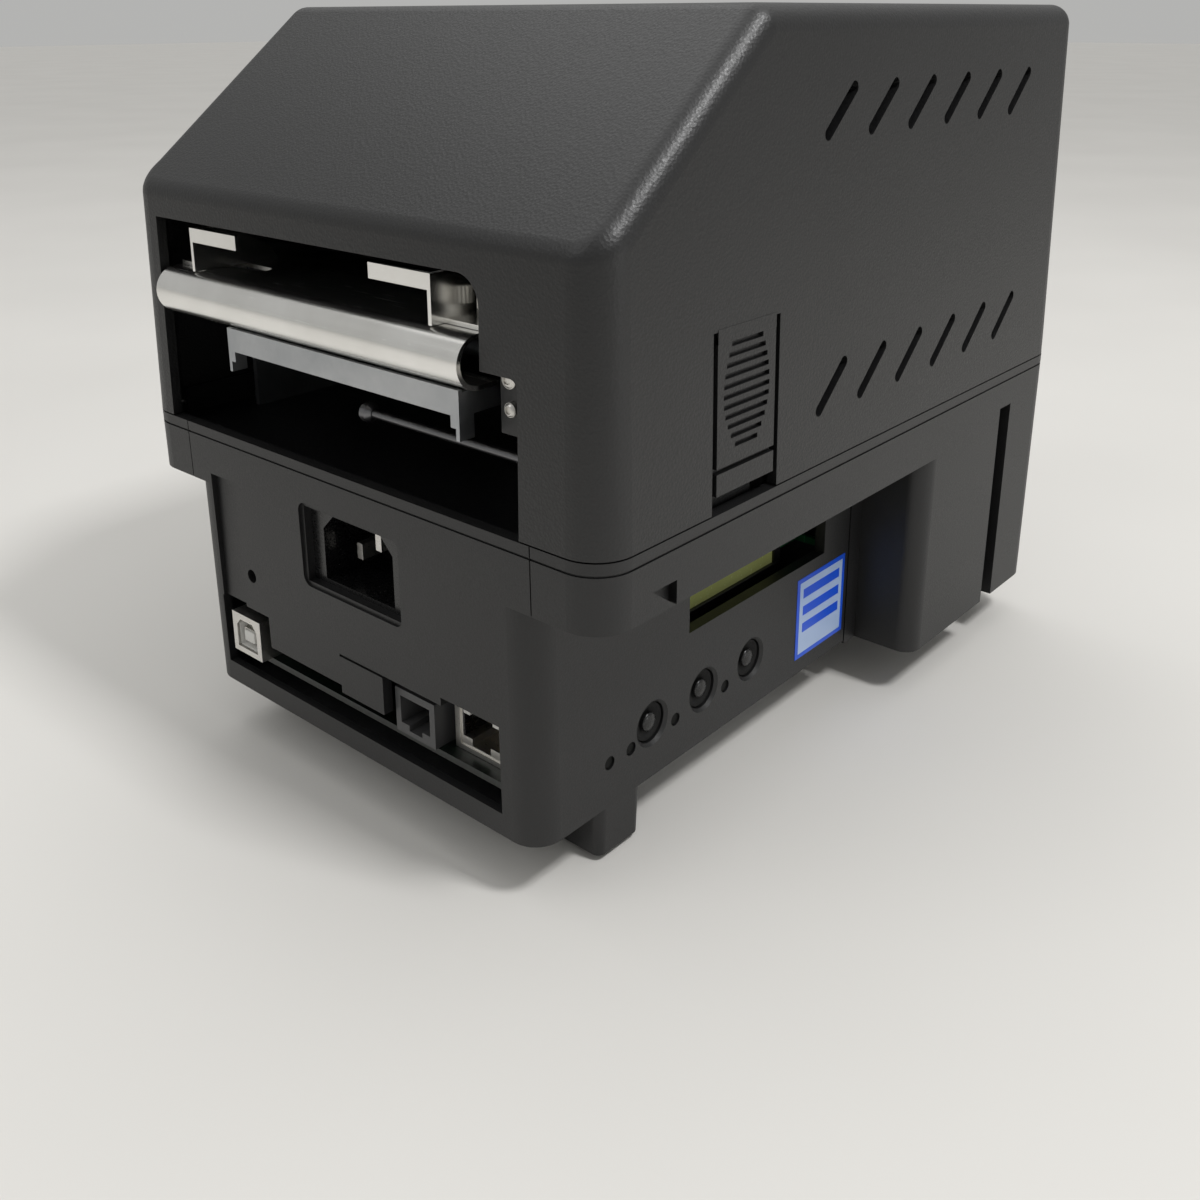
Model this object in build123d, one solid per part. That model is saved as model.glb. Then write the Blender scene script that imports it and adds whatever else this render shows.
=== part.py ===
from build123d import *
import os
from math import acos, atan2, cos, hypot, pi, radians, sin, sqrt, tan

# Ticket printer for fan-fold stock. The rear, with the mouth and the sockets, faces +Y,
# the tickets leave at the front, -Y, and the control side faces -X. Z is up from the floor.

# Casing
width = 156.0               # side to side at the seam
depth = 207.0               # rear face to front face at the seam
leg_height = 13.0
base_height = 71.2          # underside of the box to the seam
cover_height = 99.6
rear_wall_height = 57.4     # of the cover, up to its sloping roof
slope_run = 51.8            # how far forward the slope reaches
corner_r = 9.0
edge_r = 5.5                # rounding along the cover's upper edges
cover_draft = 0.87          # degrees
base_draft = 0.75
cover_wall = 2.5
base_wall = 3.0
seam_gap = 0.35             # shadow line between cover and base
nose_out = 2.4              # how far the ticket guide stands out at the rear
fit = 0.3                   # gap between pieces that don't slide on each other
running = 0.05              # radial gap of a shaft in its hole

# Base
band_height = 15.0          # full-width rim above the inset box
box_inset = 18.4            # of the lower box from each side
front_block = 77.0          # depth of the full-width block at the front
block_gap = 6.4             # between that block and the lower box
box_corner_r = 7.0
ledge = 3.0                 # thickness of the shelf under the rim
deck_drop = 2.5             # deck's upper face below the seam
deck_t = 1.5
leg_size = 15.0
leg_width = 19.0

# Ticket path
path_rise = 38.7            # ticket level above the seam
drive_room = 34.0           # beside the side plates, for the gears and motors
lever_room = 14.0           # and on the other side
edge_margin = 12.75         # each side of the widest ticket
sheet_t = 1.0               # thin sheet steel
plate_t = 1.5               # side plates
nose_r = 5.7
edge_travel = 15.8          # each edge guide, down to the narrowest ticket

# Print mechanism
platen_from_rear = 100.0
platen_r = 8.0
shaft_r = 3.0
gear_module = 0.8
gear_face = 5.0
platen_teeth = 36
idler_teeth = 30
motor_teeth = 14
cutter_teeth = 15
motor_size = 35.2
head_pivot_back = 32.0      # pivot ahead of the platen
head_pivot_rise = 16.0      # and above the ticket level
lift_shaft_back = 22.0      # lift shaft behind the platen
lift_shaft_rise = 12.0

# Controls
button_r = 4.6
button_travel = 0.8
button_pitch = 19.5
first_button = 38.7         # from the rear face
button_sink = 1.2           # caps below the housing's face
control_rise = 14.7         # buttons above the underside of the box
# Smaller fittings
hinge_r = 4.4               # hinge barrels
hinge_pin_r = 1.5
hinge_inset = 24.0          # each hinge from its side of the casing
lug_half = 5.5              # half the length of the cover's hinge lug
knuckle_half = 3.5          # and of each knuckle beside it
latch_v = 45.75             # latch centre from the rear face
latch_width = 20.4
latch_slit = 1.5
latch_leg_t = 1.7
latch_leg_gap = 0.8         # from the leg to the rim's wall, room for the cover to swing
exit_margin = 4.75          # exit slot beside the widest ticket
exit_reach = 5.0            # half its height
bush_r = 5.0
tie_r = 3.0
plate_rear = 24.0           # side plates, from the rear face
plate_front_gap = 21.0      # and from the front face
hump_behind = 34.0          # their raised part, behind and ahead of the platen
hump_ahead = 41.0
roller_margin = 7.0         # platen's rubber inside the side plates
guide_screw_v = 14.0
rod_v = 12.0                # stock rod
rod_drop = 27.4             # below the ticket level
cutter_from_front = 47.0
cutter_upright = 6.0
cutter_shaft_r = 1.5
led_places = (23.8, 31.1, 47.2, 66.9)
led_rise = 11.8
display_t = 3.2
usb_inset = 17.4            # sockets, from the sides of the lower box
network_inset = 23.1
phone_pitch = 16.5
blank_pitch = 15.7
inlet_x = -2.4
inlet_drop = 18.2           # mains inlet's middle below the deck
board_t = 1.6
rim_line = 2.4              # fine line below the rim's top
rim_line_deep = 0.4
vent_rises = (17.6, 77.9)
vent_first = 79.1
vent_pitch = 18.05
vent_last_gap = 37.65


def at(v):
    # y of a point v inside the rear face
    return rear_y - v


# Levels and faces worked out from the sizes above
rear_y = (depth - nose_out) / 2
front_y = rear_y - depth
mid_y = (rear_y + front_y) / 2
box_z = leg_height
seam_z = leg_height + base_height
band_z = seam_z - band_height
deck_z = seam_z - deck_drop
path_z = seam_z + path_rise
cover_z = seam_z + seam_gap
roof_z = seam_z + cover_height
box_x = width / 2 - box_inset
block_start = depth - front_block          # all these from the rear face
box_depth = block_start - block_gap
plate_front = depth - plate_front_gap
cutter_v = depth - cutter_from_front
hump_rear = platen_from_rear - hump_behind
hump_front = platen_from_rear + hump_ahead
left_x = width / 2 - lever_room            # inner faces of the side plates
right_x = -width / 2 + drive_room
guide_width = left_x - right_x
path_x = (left_x + right_x) / 2
ticket_width = guide_width - 2 * edge_margin
exit_half = ticket_width / 2 + exit_margin
roller_half = guide_width / 2 - roller_margin
blade_half = guide_width / 2 - 2 * fit - cutter_upright
blade_slot_half = blade_half + 1.9
hinge_span = width - 2 * hinge_inset
usb_x = box_x - usb_inset
network_x = -box_x + network_inset
phone_x = network_x + phone_pitch
blank_x = phone_x + blank_pitch
platen_y = rear_y - platen_from_rear
platen_z = path_z - platen_r
pivot_y = front_y + hinge_r + 0.4
pivot_z = cover_z + hinge_r + 0.4
mouth_left = left_x + 2.0
mouth_right = right_x - 3.0
mouth_low_right = mouth_right - 10.0
mouth_top = seam_z + 50.8
mouth_step = seam_z + 32.4
latch_top = seam_z + 38.2
latch_low = seam_z + 4.0
display_x = -box_x + base_wall + 10.0      # outer face of the display's board
board_z = box_z + 9.8                      # underside of the main board
power_z = box_z + 31.0                     # underside of the power board
inlet_z = deck_z - inlet_drop
knuckle_pitch = lug_half + fit + knuckle_half
guide_wall_x = ticket_width / 2 + 0.5
latch_hinge_r = cover_wall / 2 - 0.1
latch_axis_z = latch_top - fit - latch_hinge_r
latch_axis_x = width / 2 - cover_wall / 2 - (latch_axis_z - seam_z) * tan(radians(cover_draft))
bracket_x = right_x - 9.0                  # face of the bracket that carries the stock rod
rod_z_level = path_z - rod_drop
leg_places = [(-box_x + leg_width / 2 + fit, 28.15), (box_x - leg_width / 2 - fit, 28.15),
              (-box_x + 24.1, depth - 19.5), (box_x - 24.1, depth - 19.5)]

# Axes of the mechanism, as y and z
head_pivot = (platen_y - head_pivot_back, path_z + head_pivot_rise)
lift_pivot = (platen_y + lift_shaft_back, path_z + lift_shaft_rise)
tie_places = [(at(platen_from_rear - 16), deck_z + 8), (at(hump_front - 15), deck_z + 12),
              (at(plate_front - 5), deck_z + 14), (at(plate_front - 3.8), path_z + 12)]
gear_x = right_x - plate_t - 2.5           # inner face of the gears
idler_reach = (platen_teeth + idler_teeth) * gear_module / 2
motor_reach = (motor_teeth + idler_teeth) * gear_module / 2
idler_drop = 12.0
motor_drop = 3.0
idler_axis = (platen_y + sqrt(idler_reach ** 2 - idler_drop ** 2), platen_z - idler_drop)
motor_axis = (idler_axis[0] + sqrt(motor_reach ** 2 - motor_drop ** 2), idler_axis[1] - motor_drop)
cutter_pitch_r = cutter_teeth * gear_module / 2
cutter_axis = (at(cutter_v + 9.0), path_z + 13)


# Shapes

def block(x0, x1, y0, y1, z0, z1):
    return Pos((x0 + x1) / 2, (y0 + y1) / 2, (z0 + z1) / 2) * Box(abs(x1 - x0), abs(y1 - y0), abs(z1 - z0))


def rod_x(r, x0, x1, y, z):
    return Pos((x0 + x1) / 2, y, z) * Rot(0, 90, 0) * Cylinder(r, abs(x1 - x0))


def rod_y(r, x, y0, y1, z):
    return Pos(x, (y0 + y1) / 2, z) * Rot(90, 0, 0) * Cylinder(r, abs(y1 - y0))


def rod_z(r, x, y, z0, z1):
    return Pos(x, y, (z0 + z1) / 2) * Cylinder(r, abs(z1 - z0))


def side_prism(points, x0, x1):
    # prism between x0 and x1 over an outline in y and z
    face = make_face(Polyline(*[(y, z) for y, z in points], close=True))
    return extrude(Plane.YZ.offset(x0) * face, x1 - x0)


def rear_prism(points, y0, y1):
    # prism between y0 and y1 over an outline in x and z
    face = make_face(Polyline(*points, close=True))
    return extrude(Plane.XZ.offset(-y1) * face, y1 - y0)


def rounded_plate(x0, x1, y0, y1, z0, z1, r):
    face = Pos((x0 + x1) / 2, (y0 + y1) / 2, z0) * RectangleRounded(abs(x1 - x0), abs(y1 - y0), r)
    return extrude(face, z1 - z0)


def slot_prism(length, slot_width, angle, x0, x1, y, z):
    # a round-ended slot cut along X, leaning by angle in the side view
    face = Pos(y, z) * Rot(0, 0, angle) * SlotOverall(length, slot_width)
    return extrude(Plane.YZ.offset(x0) * face, x1 - x0)


def group(shapes):
    return Compound(children=list(shapes))


def drafted(inset, height, draft):
    # from the seam up or down, narrowing at the draft angle, with flat walls and coned corners
    face = Pos(0, mid_y, seam_z) * RectangleRounded(width - 2 * inset, depth - 2 * inset, corner_r - inset)
    return extrude(face, height, taper=draft)


def gear(teeth, x0, x1, y, z, turn, backlash=0.16):
    # spur gear on an axis along X, with true flanks of three points each
    pitch_r = teeth * gear_module / 2
    base_r = pitch_r * cos(radians(20))
    tip_r = pitch_r + gear_module * 0.95
    root_r = pitch_r - gear_module * 1.25
    half = (pi * gear_module / 2 - backlash) / 2 / pitch_r
    involute = lambda r: tan(acos(min(1, base_r / r))) - acos(min(1, base_r / r))
    at_pitch = involute(pitch_r)
    radii = [max(base_r, root_r) + (tip_r - max(base_r, root_r)) * k / 2 for k in range(3)]
    points = []
    for tooth in range(teeth):
        middle = 2 * pi * tooth / teeth + turn
        rising = [(r, middle - half - at_pitch + involute(r)) for r in radii]
        falling = [(r, middle + half + at_pitch - involute(r)) for r in reversed(radii)]
        foot = [(root_r, rising[0][1])] if base_r > root_r else []
        heel = [(root_r, falling[-1][1])] if base_r > root_r else []
        points += foot + rising + falling + heel
    outline = [(y + r * cos(a), z + r * sin(a)) for r, a in points]
    return side_prism(outline, x0, x1)


# Casing

def base_form(inset):
    return drafted(inset, -base_height, base_draft)


def cover_form(inset):
    form = drafted(inset, cover_height - inset, cover_draft)
    rise = cover_height - rear_wall_height
    drop = inset * hypot(rise, slope_run) / slope_run
    reach = 20.0
    slope_low = (rear_y + reach, seam_z + rear_wall_height - drop - reach * rise / slope_run)
    slope_high = (at(slope_run) - reach, roof_z - drop + reach * rise / slope_run)
    keep = side_prism([(rear_y + reach, seam_z - 1), slope_low, slope_high,
                       (front_y - reach, slope_high[1]), (front_y - reach, seam_z - 1)], -width, width)
    form = form & keep
    roof = form.faces().sort_by(Axis.Z)[-1]
    slope = [f for f in form.faces() if f.normal_at().Y > 0.3 and f.normal_at().Z > 0.3][0]
    edges = ShapeList(roof.edges() + slope.edges())
    unique = []
    for edge in edges:
        if not any((edge.center() - other.center()).length < 1e-4 for other in unique):
            unique.append(edge)
    return fillet(unique, edge_r - inset)


def mouth_cut():
    face = make_face(Polyline((mouth_left, seam_z - 1), (mouth_left, mouth_top), (mouth_right, mouth_top),
                              (mouth_right, mouth_step), (mouth_low_right, mouth_step),
                              (mouth_low_right, seam_z - 1), close=True))
    corner = [v for v in face.vertices() if v.Y > mouth_top - 1 and v.X < 0]
    face = fillet(corner, 6)
    low_corner = [v for v in face.vertices() if abs(v.X - mouth_low_right) < 0.1 and v.Y > mouth_step - 1]
    face = fillet(low_corner, 2)
    cut = extrude(Plane.XZ.offset(-rear_y - 2) * face, cover_wall + 6)
    return cut


def vent_cuts():
    count = int((depth - vent_last_gap - vent_first) / vent_pitch + 0.01) + 1
    return [slot_prism(16.4, 2.8, 138, -width, width, at(vent_first + vent_pitch * k), seam_z + rise)
            for rise in vent_rises for k in range(count)]


def make_top_cover(outer, inner):
    shell = outer - inner
    shell -= block(-width, width, front_y - 5, rear_y + 5, seam_z - 1, cover_z)
    shell -= mouth_cut()
    for cut in vent_cuts():
        shell -= cut
    window = latch_width + 2 * latch_slit
    for side in (1, -1):
        x0, x1 = side * (width / 2 - 6), side * (width / 2 + 1)
        shell -= block(x0, x1, at(latch_v) - window / 2, at(latch_v) + window / 2, seam_z - 1, latch_top)
    # exit slot
    shell -= block(path_x - exit_half, path_x + exit_half, front_y - 3, front_y + cover_wall + 4,
                   path_z - exit_reach, path_z + exit_reach)
    # stiffening ribs under the roof
    for x in (path_x - 45, path_x, path_x + 45):
        rib = block(x - 0.9, x + 0.9, front_y + 1, at(slope_run + 6), roof_z - cover_wall - 3, roof_z - 1)
        shell += rib & outer
    # bull-nosed lower front edge, turned about the hinge line
    nose = block(-width, width, front_y - 5, pivot_y, seam_z - 1, pivot_z) \
        - rod_x(hinge_r, -width, width, pivot_y, pivot_z)
    shell -= nose
    for side in (1, -1):
        middle = side * hinge_span / 2
        for step in (1, -1):
            centre = middle + step * knuckle_pitch
            shell -= block(centre - knuckle_half - fit, centre + knuckle_half + fit,
                           front_y - 5, pivot_y + hinge_r + 1, seam_z - 1, pivot_z + hinge_r + 0.8)
        barrel = rod_x(hinge_r, middle - lug_half, middle + lug_half, pivot_y, pivot_z)
        web = block(middle - lug_half, middle + lug_half, front_y + 1, pivot_y, pivot_z, pivot_z + hinge_r + 3)
        shell += (barrel + web) & outer
        shell -= rod_x(hinge_pin_r + running, middle - lug_half - 1, middle + lug_half + 1, pivot_y, pivot_z)
    return shell


def latch_tongue(side, outer, inner):
    y = at(latch_v)
    half = latch_width / 2
    slab = (outer - inner) & block(side * (width / 2 - 6), side * (width / 2 + 1), y - half, y + half,
                                   latch_low, latch_axis_z)
    slab += rod_y(latch_hinge_r, side * latch_axis_x, y - half, y + half, latch_axis_z)
    face_x = width / 2
    # the line above the lower lip, and the finger ribs
    slab -= block(side * (face_x - 1.3), side * (face_x + 1), y - half - 1, y + half + 1,
                  latch_low + 4.7, latch_low + 5.8)
    pitch = 2.13
    for k in range(11):
        z = seam_z + 13.2 + pitch * k
        lean = (z - (seam_z + 23.8)) / 10.65
        reach = 8.1 * (1 - 0.32 * lean * lean * (1 if lean > 0 else 1.6))
        deep = face_x - 0.9 - (z - seam_z) * tan(radians(cover_draft))
        slab -= block(side * deep, side * (face_x + 1), y - reach, y + reach, z, z + 1.05)
    # the leg that reaches down inside the rim
    leg_out = face_x - base_wall - latch_leg_gap
    leg_in = leg_out - latch_leg_t
    leg = block(side * leg_in, side * leg_out, y - half + 3, y + half - 3, seam_z - 6, latch_low + 3)
    leg += side_wedge(side, leg_in, face_x - cover_wall, y, half - 3)
    return slab + leg


def side_wedge(side, x0, x1, y, half):
    # joins the leg to the back of the tongue
    return block(side * x0, side * (x1 + 0.6), y - half, y + half, latch_low + 0.6, latch_low + 3)


def rim_groove():
    # fine line all round the rim, a little below its top
    ring = base_form(-1) - base_form(rim_line_deep)
    return ring & block(-width, width, front_y - 2, rear_y + 2, seam_z - rim_line - 0.5, seam_z - rim_line)


def make_base_frame():
    shell = base_form(0)
    # under the rim the box is inset, ahead of the front block
    shell -= block(-width, width, at(block_start), rear_y + 5, box_z - 1, band_z)
    step = block(-box_x, box_x, at(block_start) - 1, at(box_depth + 0.7), box_z, band_z)
    block_edges = [e for e in shell.edges() if abs(e.tangent_at(0.5).Z) > 0.9
                   and abs(e.center().Y - at(block_start)) < 0.5 and e.center().Z < band_z]
    shell = fillet(block_edges, 5)
    shell += step
    # room inside the rim, down to the shelf
    inner = base_form(base_wall)
    shell -= inner & block(-width, width, front_y - 1, rear_y + 1, band_z + ledge, seam_z + 1)
    # room inside the front block
    shell -= inner & block(-width, width, front_y - 1, at(block_start) - base_wall, box_z + base_wall, band_z + 5)
    # posts that carry the deck
    post_x = width / 2 - base_wall - 3.5
    for side in (1, -1):
        for v in (16, 80, block_start - 8, depth - 11):
            shell += block(side * (post_x - 2.5), side * (post_x + 4), at(v + 3), at(v - 3),
                           band_z + ledge - 1 if v < block_start else box_z + 1, deck_z - deck_t)
    # the well that the electronics box closes, and the rear wall it brings with it
    well_x = box_x - base_wall - 2.5
    shell -= block(-well_x, well_x, at(box_depth - 2.5), at(base_wall + fit), band_z - 1, band_z + ledge + 1)
    shell -= block(-box_x - fit, box_x + fit, at(base_wall + 3.2), rear_y + 5, band_z - 1, seam_z + 1)
    for side in (1, -1):
        # upright channel in the block's side
        channel_v = depth - 30.0
        shell += block(side * (width / 2 - 9), side * (width / 2 - 3), at(channel_v + 6.5), at(channel_v - 6.5),
                       box_z, box_z + 62.6)
        shell -= block(side * (width / 2 - 7), side * (width / 2 + 1), at(channel_v + 3.5), at(channel_v - 3.5),
                       box_z - 1, box_z + 60.6)
        # wedge-shaped finger notch in the rim's lower edge
        notch = side_prism([(at(15.4), box_z + 61.6), (at(23.0), box_z + 61.6), (at(23.1), band_z - 0.1),
                            (at(22.9), band_z - 0.1)], side * (width / 2 - 2.2), side * (width / 2 + 1))
        shell -= notch
    # hinge knuckles on the front wall
    for side in (1, -1):
        for step_side in (1, -1):
            centre = side * hinge_span / 2 + step_side * knuckle_pitch
            shell += knuckle(centre)
    return shell - rim_groove()


def knuckle(centre):
    x0, x1 = centre - knuckle_half, centre + knuckle_half
    barrel = rod_x(hinge_r, x0, x1, pivot_y, pivot_z)
    neck = block(x0, x1, front_y + 0.5, pivot_y + 1.5, seam_z - 1, pivot_z)
    return barrel + neck - rod_x(hinge_pin_r + running, x0 - 1, x1 + 1, pivot_y, pivot_z)


def make_hinge_pins():
    pins = []
    for side in (1, -1):
        reach = knuckle_pitch + knuckle_half
        middle = side * hinge_span / 2
        pins.append(rod_x(hinge_pin_r, middle - reach, middle + reach, pivot_y, pivot_z))
    return group(pins)


def port_outline():
    # the stepped window for the sockets, as x and z
    low, step, middle, high = box_z + 6.5, box_z + 17.2, box_z + 25.5, box_z + 27.5
    left, usb_side, blank_side = usb_x + 9.8, usb_x - 10.2, blank_x + 8.1
    network_side, right = network_x + 5.1, network_x - 12.8
    return [(left, low), (left, middle), (usb_side, middle), (usb_side, step), (blank_side, step),
            (blank_side, middle), (network_side, middle), (network_side, high), (right, high), (right, low)]


def make_electronics_housing():
    body = base_form(0) & block(-box_x, box_x, at(box_depth), rear_y + 1, box_z + 1, band_z)
    corners = [e for e in body.edges() if e.center().Y > rear_y - 3 and abs(abs(e.center().X) - box_x) < 0.6
               and e.length > 20]
    body = fillet(corners, box_corner_r)
    body -= block(-box_x + base_wall, box_x - base_wall, at(box_depth - base_wall), at(base_wall), box_z, seam_z)
    upper = base_form(0) & block(-box_x, box_x, at(base_wall), rear_y + 1, band_z, seam_z)
    body += upper
    body -= rear_prism(port_outline(), at(base_wall + 1), rear_y + 1)
    # mains inlet window with a bevelled edge and one round corner
    inlet = Pos(inlet_x, inlet_z) * Rectangle(33.2, 19)
    body -= extrude(Plane.XZ.offset(-rear_y - 1) * inlet, base_wall + 2)
    bevel = Pos(inlet_x, inlet_z) * RectangleRounded(35.4, 21.2, 2.5)
    body -= extrude(Plane.XZ.offset(-rear_y - 1) * bevel, 2.0)
    # upright recess and a screw hole beside it
    body -= block(usb_x - 0.8, usb_x + 9.3, at(1.6), rear_y + 1, box_z + 25, box_z + 59)
    body -= rod_y(1.75, usb_x - 4.6, at(base_wall + 1), rear_y + 1, box_z + 35)
    # controls on the -X side
    for k in range(3):
        body -= rod_x(button_r + 0.35, -box_x - 1, -box_x + base_wall + 1, at(first_button + button_pitch * k),
                      box_z + control_rise)
        y, z = button_place(k)
        bevel = Pos(-box_x + 0.35, y, z) * Rot(0, 90, 0) * Cone(button_r + 1.1, button_r + 0.35, 0.75)
        body -= bevel
    for v in led_places:
        body -= rod_x(1.6, -box_x - 1, -box_x + base_wall + 1, at(v), box_z + led_rise)
    body -= block(-box_x - 1, -box_x + base_wall + 1, at(box_depth - 12.6), at(52), box_z + 32, box_z + 50)
    return body - rim_groove()


def make_bottom_plate():
    edge = base_wall + fit
    plate = block(-box_x + edge, box_x - edge, at(box_depth - edge), at(edge), box_z + 1, box_z + 2.2)
    for k in range(8):
        plate -= Pos(-28 + 8 * k, at(box_depth / 2 + 8), box_z) * Rot(0, 0, 90) * extrude(SlotOverall(30, 3), 5)
    return plate


def make_leg(x, v):
    foot = Pos(x, at(v), 1.5) * RectangleRounded(leg_width - 1, leg_size - 1, 2)
    head = Pos(x, at(v), box_z + 1 if v < block_start else box_z) * RectangleRounded(leg_width, leg_size, 2.5)
    return loft([foot, head], ruled=True)


def make_rubber_pads():
    return group([Pos(x, at(v), 0) * extrude(RectangleRounded(leg_width - 5, leg_size - 5, 2), 1.5)
                  for x, v in leg_places])


# Deck and side plates

def make_deck_plate():
    edge = base_wall + fit
    plate = base_form(edge) & block(-width, width, front_y, rear_y, deck_z - deck_t, deck_z)
    inner_x = width / 2 - edge - 0.4
    for side in (1, -1):
        flange = block(side * (inner_x - deck_t), side * inner_x, at(depth - 20), at(8), deck_z - 0.5, deck_z + 6.5)
        plate += flange
        plate -= block(side * (inner_x - 7), side * (width / 2), at(latch_v + 11), at(latch_v - 11),
                       deck_z - 3, deck_z + 10)
    plate -= block(path_x - 48, path_x - 10, at(block_start + 5), at(block_start - 18), deck_z - 5, deck_z + 1)
    return plate


def make_side_plate(side):
    x0 = left_x if side > 0 else right_x - plate_t
    top_low, top_high, top_front = path_z + 8, path_z + 26, path_z + 18
    outline = [(at(plate_rear), deck_z), (at(plate_rear), top_low), (at(hump_rear - 8), top_low),
               (at(hump_rear), top_high), (at(hump_front), top_high), (at(hump_front + 6), top_front),
               (at(plate_front), top_front), (at(plate_front), deck_z)]
    face = make_face(Polyline(*outline, close=True))
    face = fillet([v for v in face.vertices() if v.Y > deck_z + 5], 3)
    plate = extrude(Plane.YZ.offset(x0) * face, plate_t)
    out = x0 + plate_t if side > 0 else x0
    flange = block(out, out + side * 6.5, at(plate_front - 6), at(plate_rear + 4), deck_z, deck_z + plate_t)
    plate += flange
    if side > 0:
        plate -= block(out, out + 8, at(latch_v + 11), at(latch_v - 11), deck_z - 1, deck_z + 3)
    plate -= rod_x(bush_r + 0.02, x0 - 1, x0 + plate_t + 1, platen_y, platen_z)
    plate -= rod_x(shaft_r + running, x0 - 1, x0 + plate_t + 1, *head_pivot)
    plate -= rod_x(shaft_r + running, x0 - 1, x0 + plate_t + 1, *lift_pivot)
    for y, z in tie_places:
        plate -= rod_x(tie_r - 1.2, x0 - 1, x0 + plate_t + 1, y, z)
    if side < 0:
        plate += idler_stud()
        plate -= rod_x(11.3, x0 - 1, x0 + plate_t + 1, *motor_axis)
        plate -= rod_x(cutter_shaft_r + 0.5, x0 - 1, x0 + plate_t + 1, *cutter_axis)
    return plate


def make_tie_bars():
    bars = []
    for y, z in tie_places:
        bars.append(rod_x(tie_r, right_x, left_x, y, z)
                    + rod_x(tie_r - 1.25, right_x - plate_t - 0.5, left_x + plate_t + 0.5, y, z))
    return group(bars)


# Ticket path

def guide_plate_section():
    # flat plate that ends in a rolled nose at the rear, with a short lip below
    y, z = at(nose_r - nose_out), path_z - nose_r
    r, t = nose_r, sheet_t
    outside = ThreePointArc((y, z + r), (y + r, z), (y, z - r))
    lip = Polyline((y, z - r), (y - 5, z - r), (y - 5, z - r + t), (y, z - r + t))
    inside = ThreePointArc((y, z - r + t), (y + r - t, z), (y, z + r - t))
    flat = Polyline((y, z + r - t), (at(90), z + r - t), (at(90), z + r), (y, z + r))
    return make_face(outside + lip + inside + flat)


def make_ticket_guide():
    guide = extrude(Plane.YZ.offset(right_x + fit) * guide_plate_section(), guide_width - 2 * fit)
    for x0, x1 in (screw_run(1), screw_run(-1)):
        guide -= rounded_plate(x0 - 2.2, x1 + 2.2, at(guide_screw_v) - 2.2, at(guide_screw_v) + 2.2,
                               path_z - 3, path_z + 1, 2.1)
    # sensor window
    guide -= block(path_x - 4, path_x + 4, at(84), at(76), path_z - 3, path_z + 1)
    # bent ears down the side plates
    for side in (1, -1):
        x = left_x - fit if side > 0 else right_x + fit
        guide += block(x - side * sheet_t, x, at(88), at(plate_rear + 2), path_z - 4, path_z - sheet_t / 2)
    return guide


def screw_run(side):
    # the screw's x at rest and pushed right in
    rest = path_x + side * (guide_wall_x + 6.5)
    inner = rest - side * edge_travel
    return min(rest, inner), max(rest, inner)


def make_edge_guide(side):
    wall_x = path_x + side * guide_wall_x
    out_x = wall_x + side * sheet_t
    low = path_z + 0.1
    wall_points = [(at(1.5), low), (at(1.5), low + 10.5), (at(10.5), low + 10.5), (at(23), low + 3.5),
                   (at(25), low)]
    wall = side_prism(wall_points, min(wall_x, out_x), max(wall_x, out_x))
    foot = block(wall_x, wall_x + side * 11.5, at(24), at(5), low, low + sheet_t)
    lip = block(out_x, wall_x - side * 18, at(2.5), at(1.5), low + 7.1, low + 10.5)
    guide = wall + foot + lip
    x = path_x + side * (guide_wall_x + 6.5)
    guide -= rod_z(2.0, x, at(guide_screw_v), low - 1, low + 3)
    return guide


def make_guide_screw(side):
    x, y = path_x + side * (guide_wall_x + 6.5), at(guide_screw_v)
    low = path_z + 0.1 + sheet_t
    head = rod_z(4.0, x, y, low, low + 1.2)
    head += extrude(Pos(x, y, low + 1.2) * RegularPolygon(3.6, 16), 3.8)
    shank = rod_z(1.9, x, y, path_z - 4, low)
    nut = extrude(Pos(x, y, path_z - sheet_t - 0.1 - 2.2) * Rectangle(7, 7), 2.2)
    return head + shank + nut


def make_guide_support():
    # bracket close under the nose: an apron between two angled legs
    x0, x1 = right_x + 2.0, left_x - 27.0
    face_v = 0.4
    top = path_z - nose_r - sqrt(nose_r ** 2 - (nose_r - nose_out - face_v) ** 2) - fit
    low = path_z - 16.4
    bracket = block(x0, x1, at(face_v), at(face_v - sheet_t), low, top)
    for x, out in ((x0, 1), (x1, -1)):
        bracket += block(x, x + out * 2.5, at(face_v), at(face_v - sheet_t), low - 2.5, top)
        bracket += block(x, x + out * sheet_t, at(face_v + 3), at(face_v - sheet_t), low - 5, path_z - 2 * nose_r)
    # arms behind the nose rise to the underside of the guide
    under = path_z - 2 * nose_r - 0.1
    for x in (x0, x1 - sheet_t):
        bracket += side_prism([(at(face_v), under), (at(face_v), low), (at(20), low), (at(28), path_z - 6),
                               (at(28), path_z - sheet_t), (at(20), path_z - sheet_t), (at(20), under)],
                              x, x + sheet_t)
    return bracket


def make_upper_guide():
    t = sheet_t
    gap = 3.0
    points = [(at(20), path_z + 11), (at(30), path_z + gap + t), (at(88), path_z + gap + t),
              (at(88), path_z + gap), (at(29.6), path_z + gap), (at(19.2), path_z + 10.4)]
    plate = side_prism(points, right_x + fit, left_x - fit)
    for x in (right_x + fit, left_x - fit - t):
        plate += side_prism([(at(32), path_z + gap), (at(32), path_z + gap + 5), (at(76), path_z + gap + 5),
                             (at(76), path_z + gap)], x, x + t)
    return plate


def make_front_guide():
    front, rear = cutter_v - 6, platen_from_rear + 10
    plate = block(right_x + fit, left_x - fit, at(front), at(rear), path_z - sheet_t, path_z)
    plate += block(right_x + fit, left_x - fit, at(front + 1), at(front), path_z - 10, path_z)
    for side in (1, -1):
        x = left_x - fit if side > 0 else right_x + fit
        plate += block(x - side * sheet_t, x, at(front - 4), at(rear + 2), path_z - 10, path_z - sheet_t / 2)
    return plate


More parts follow.
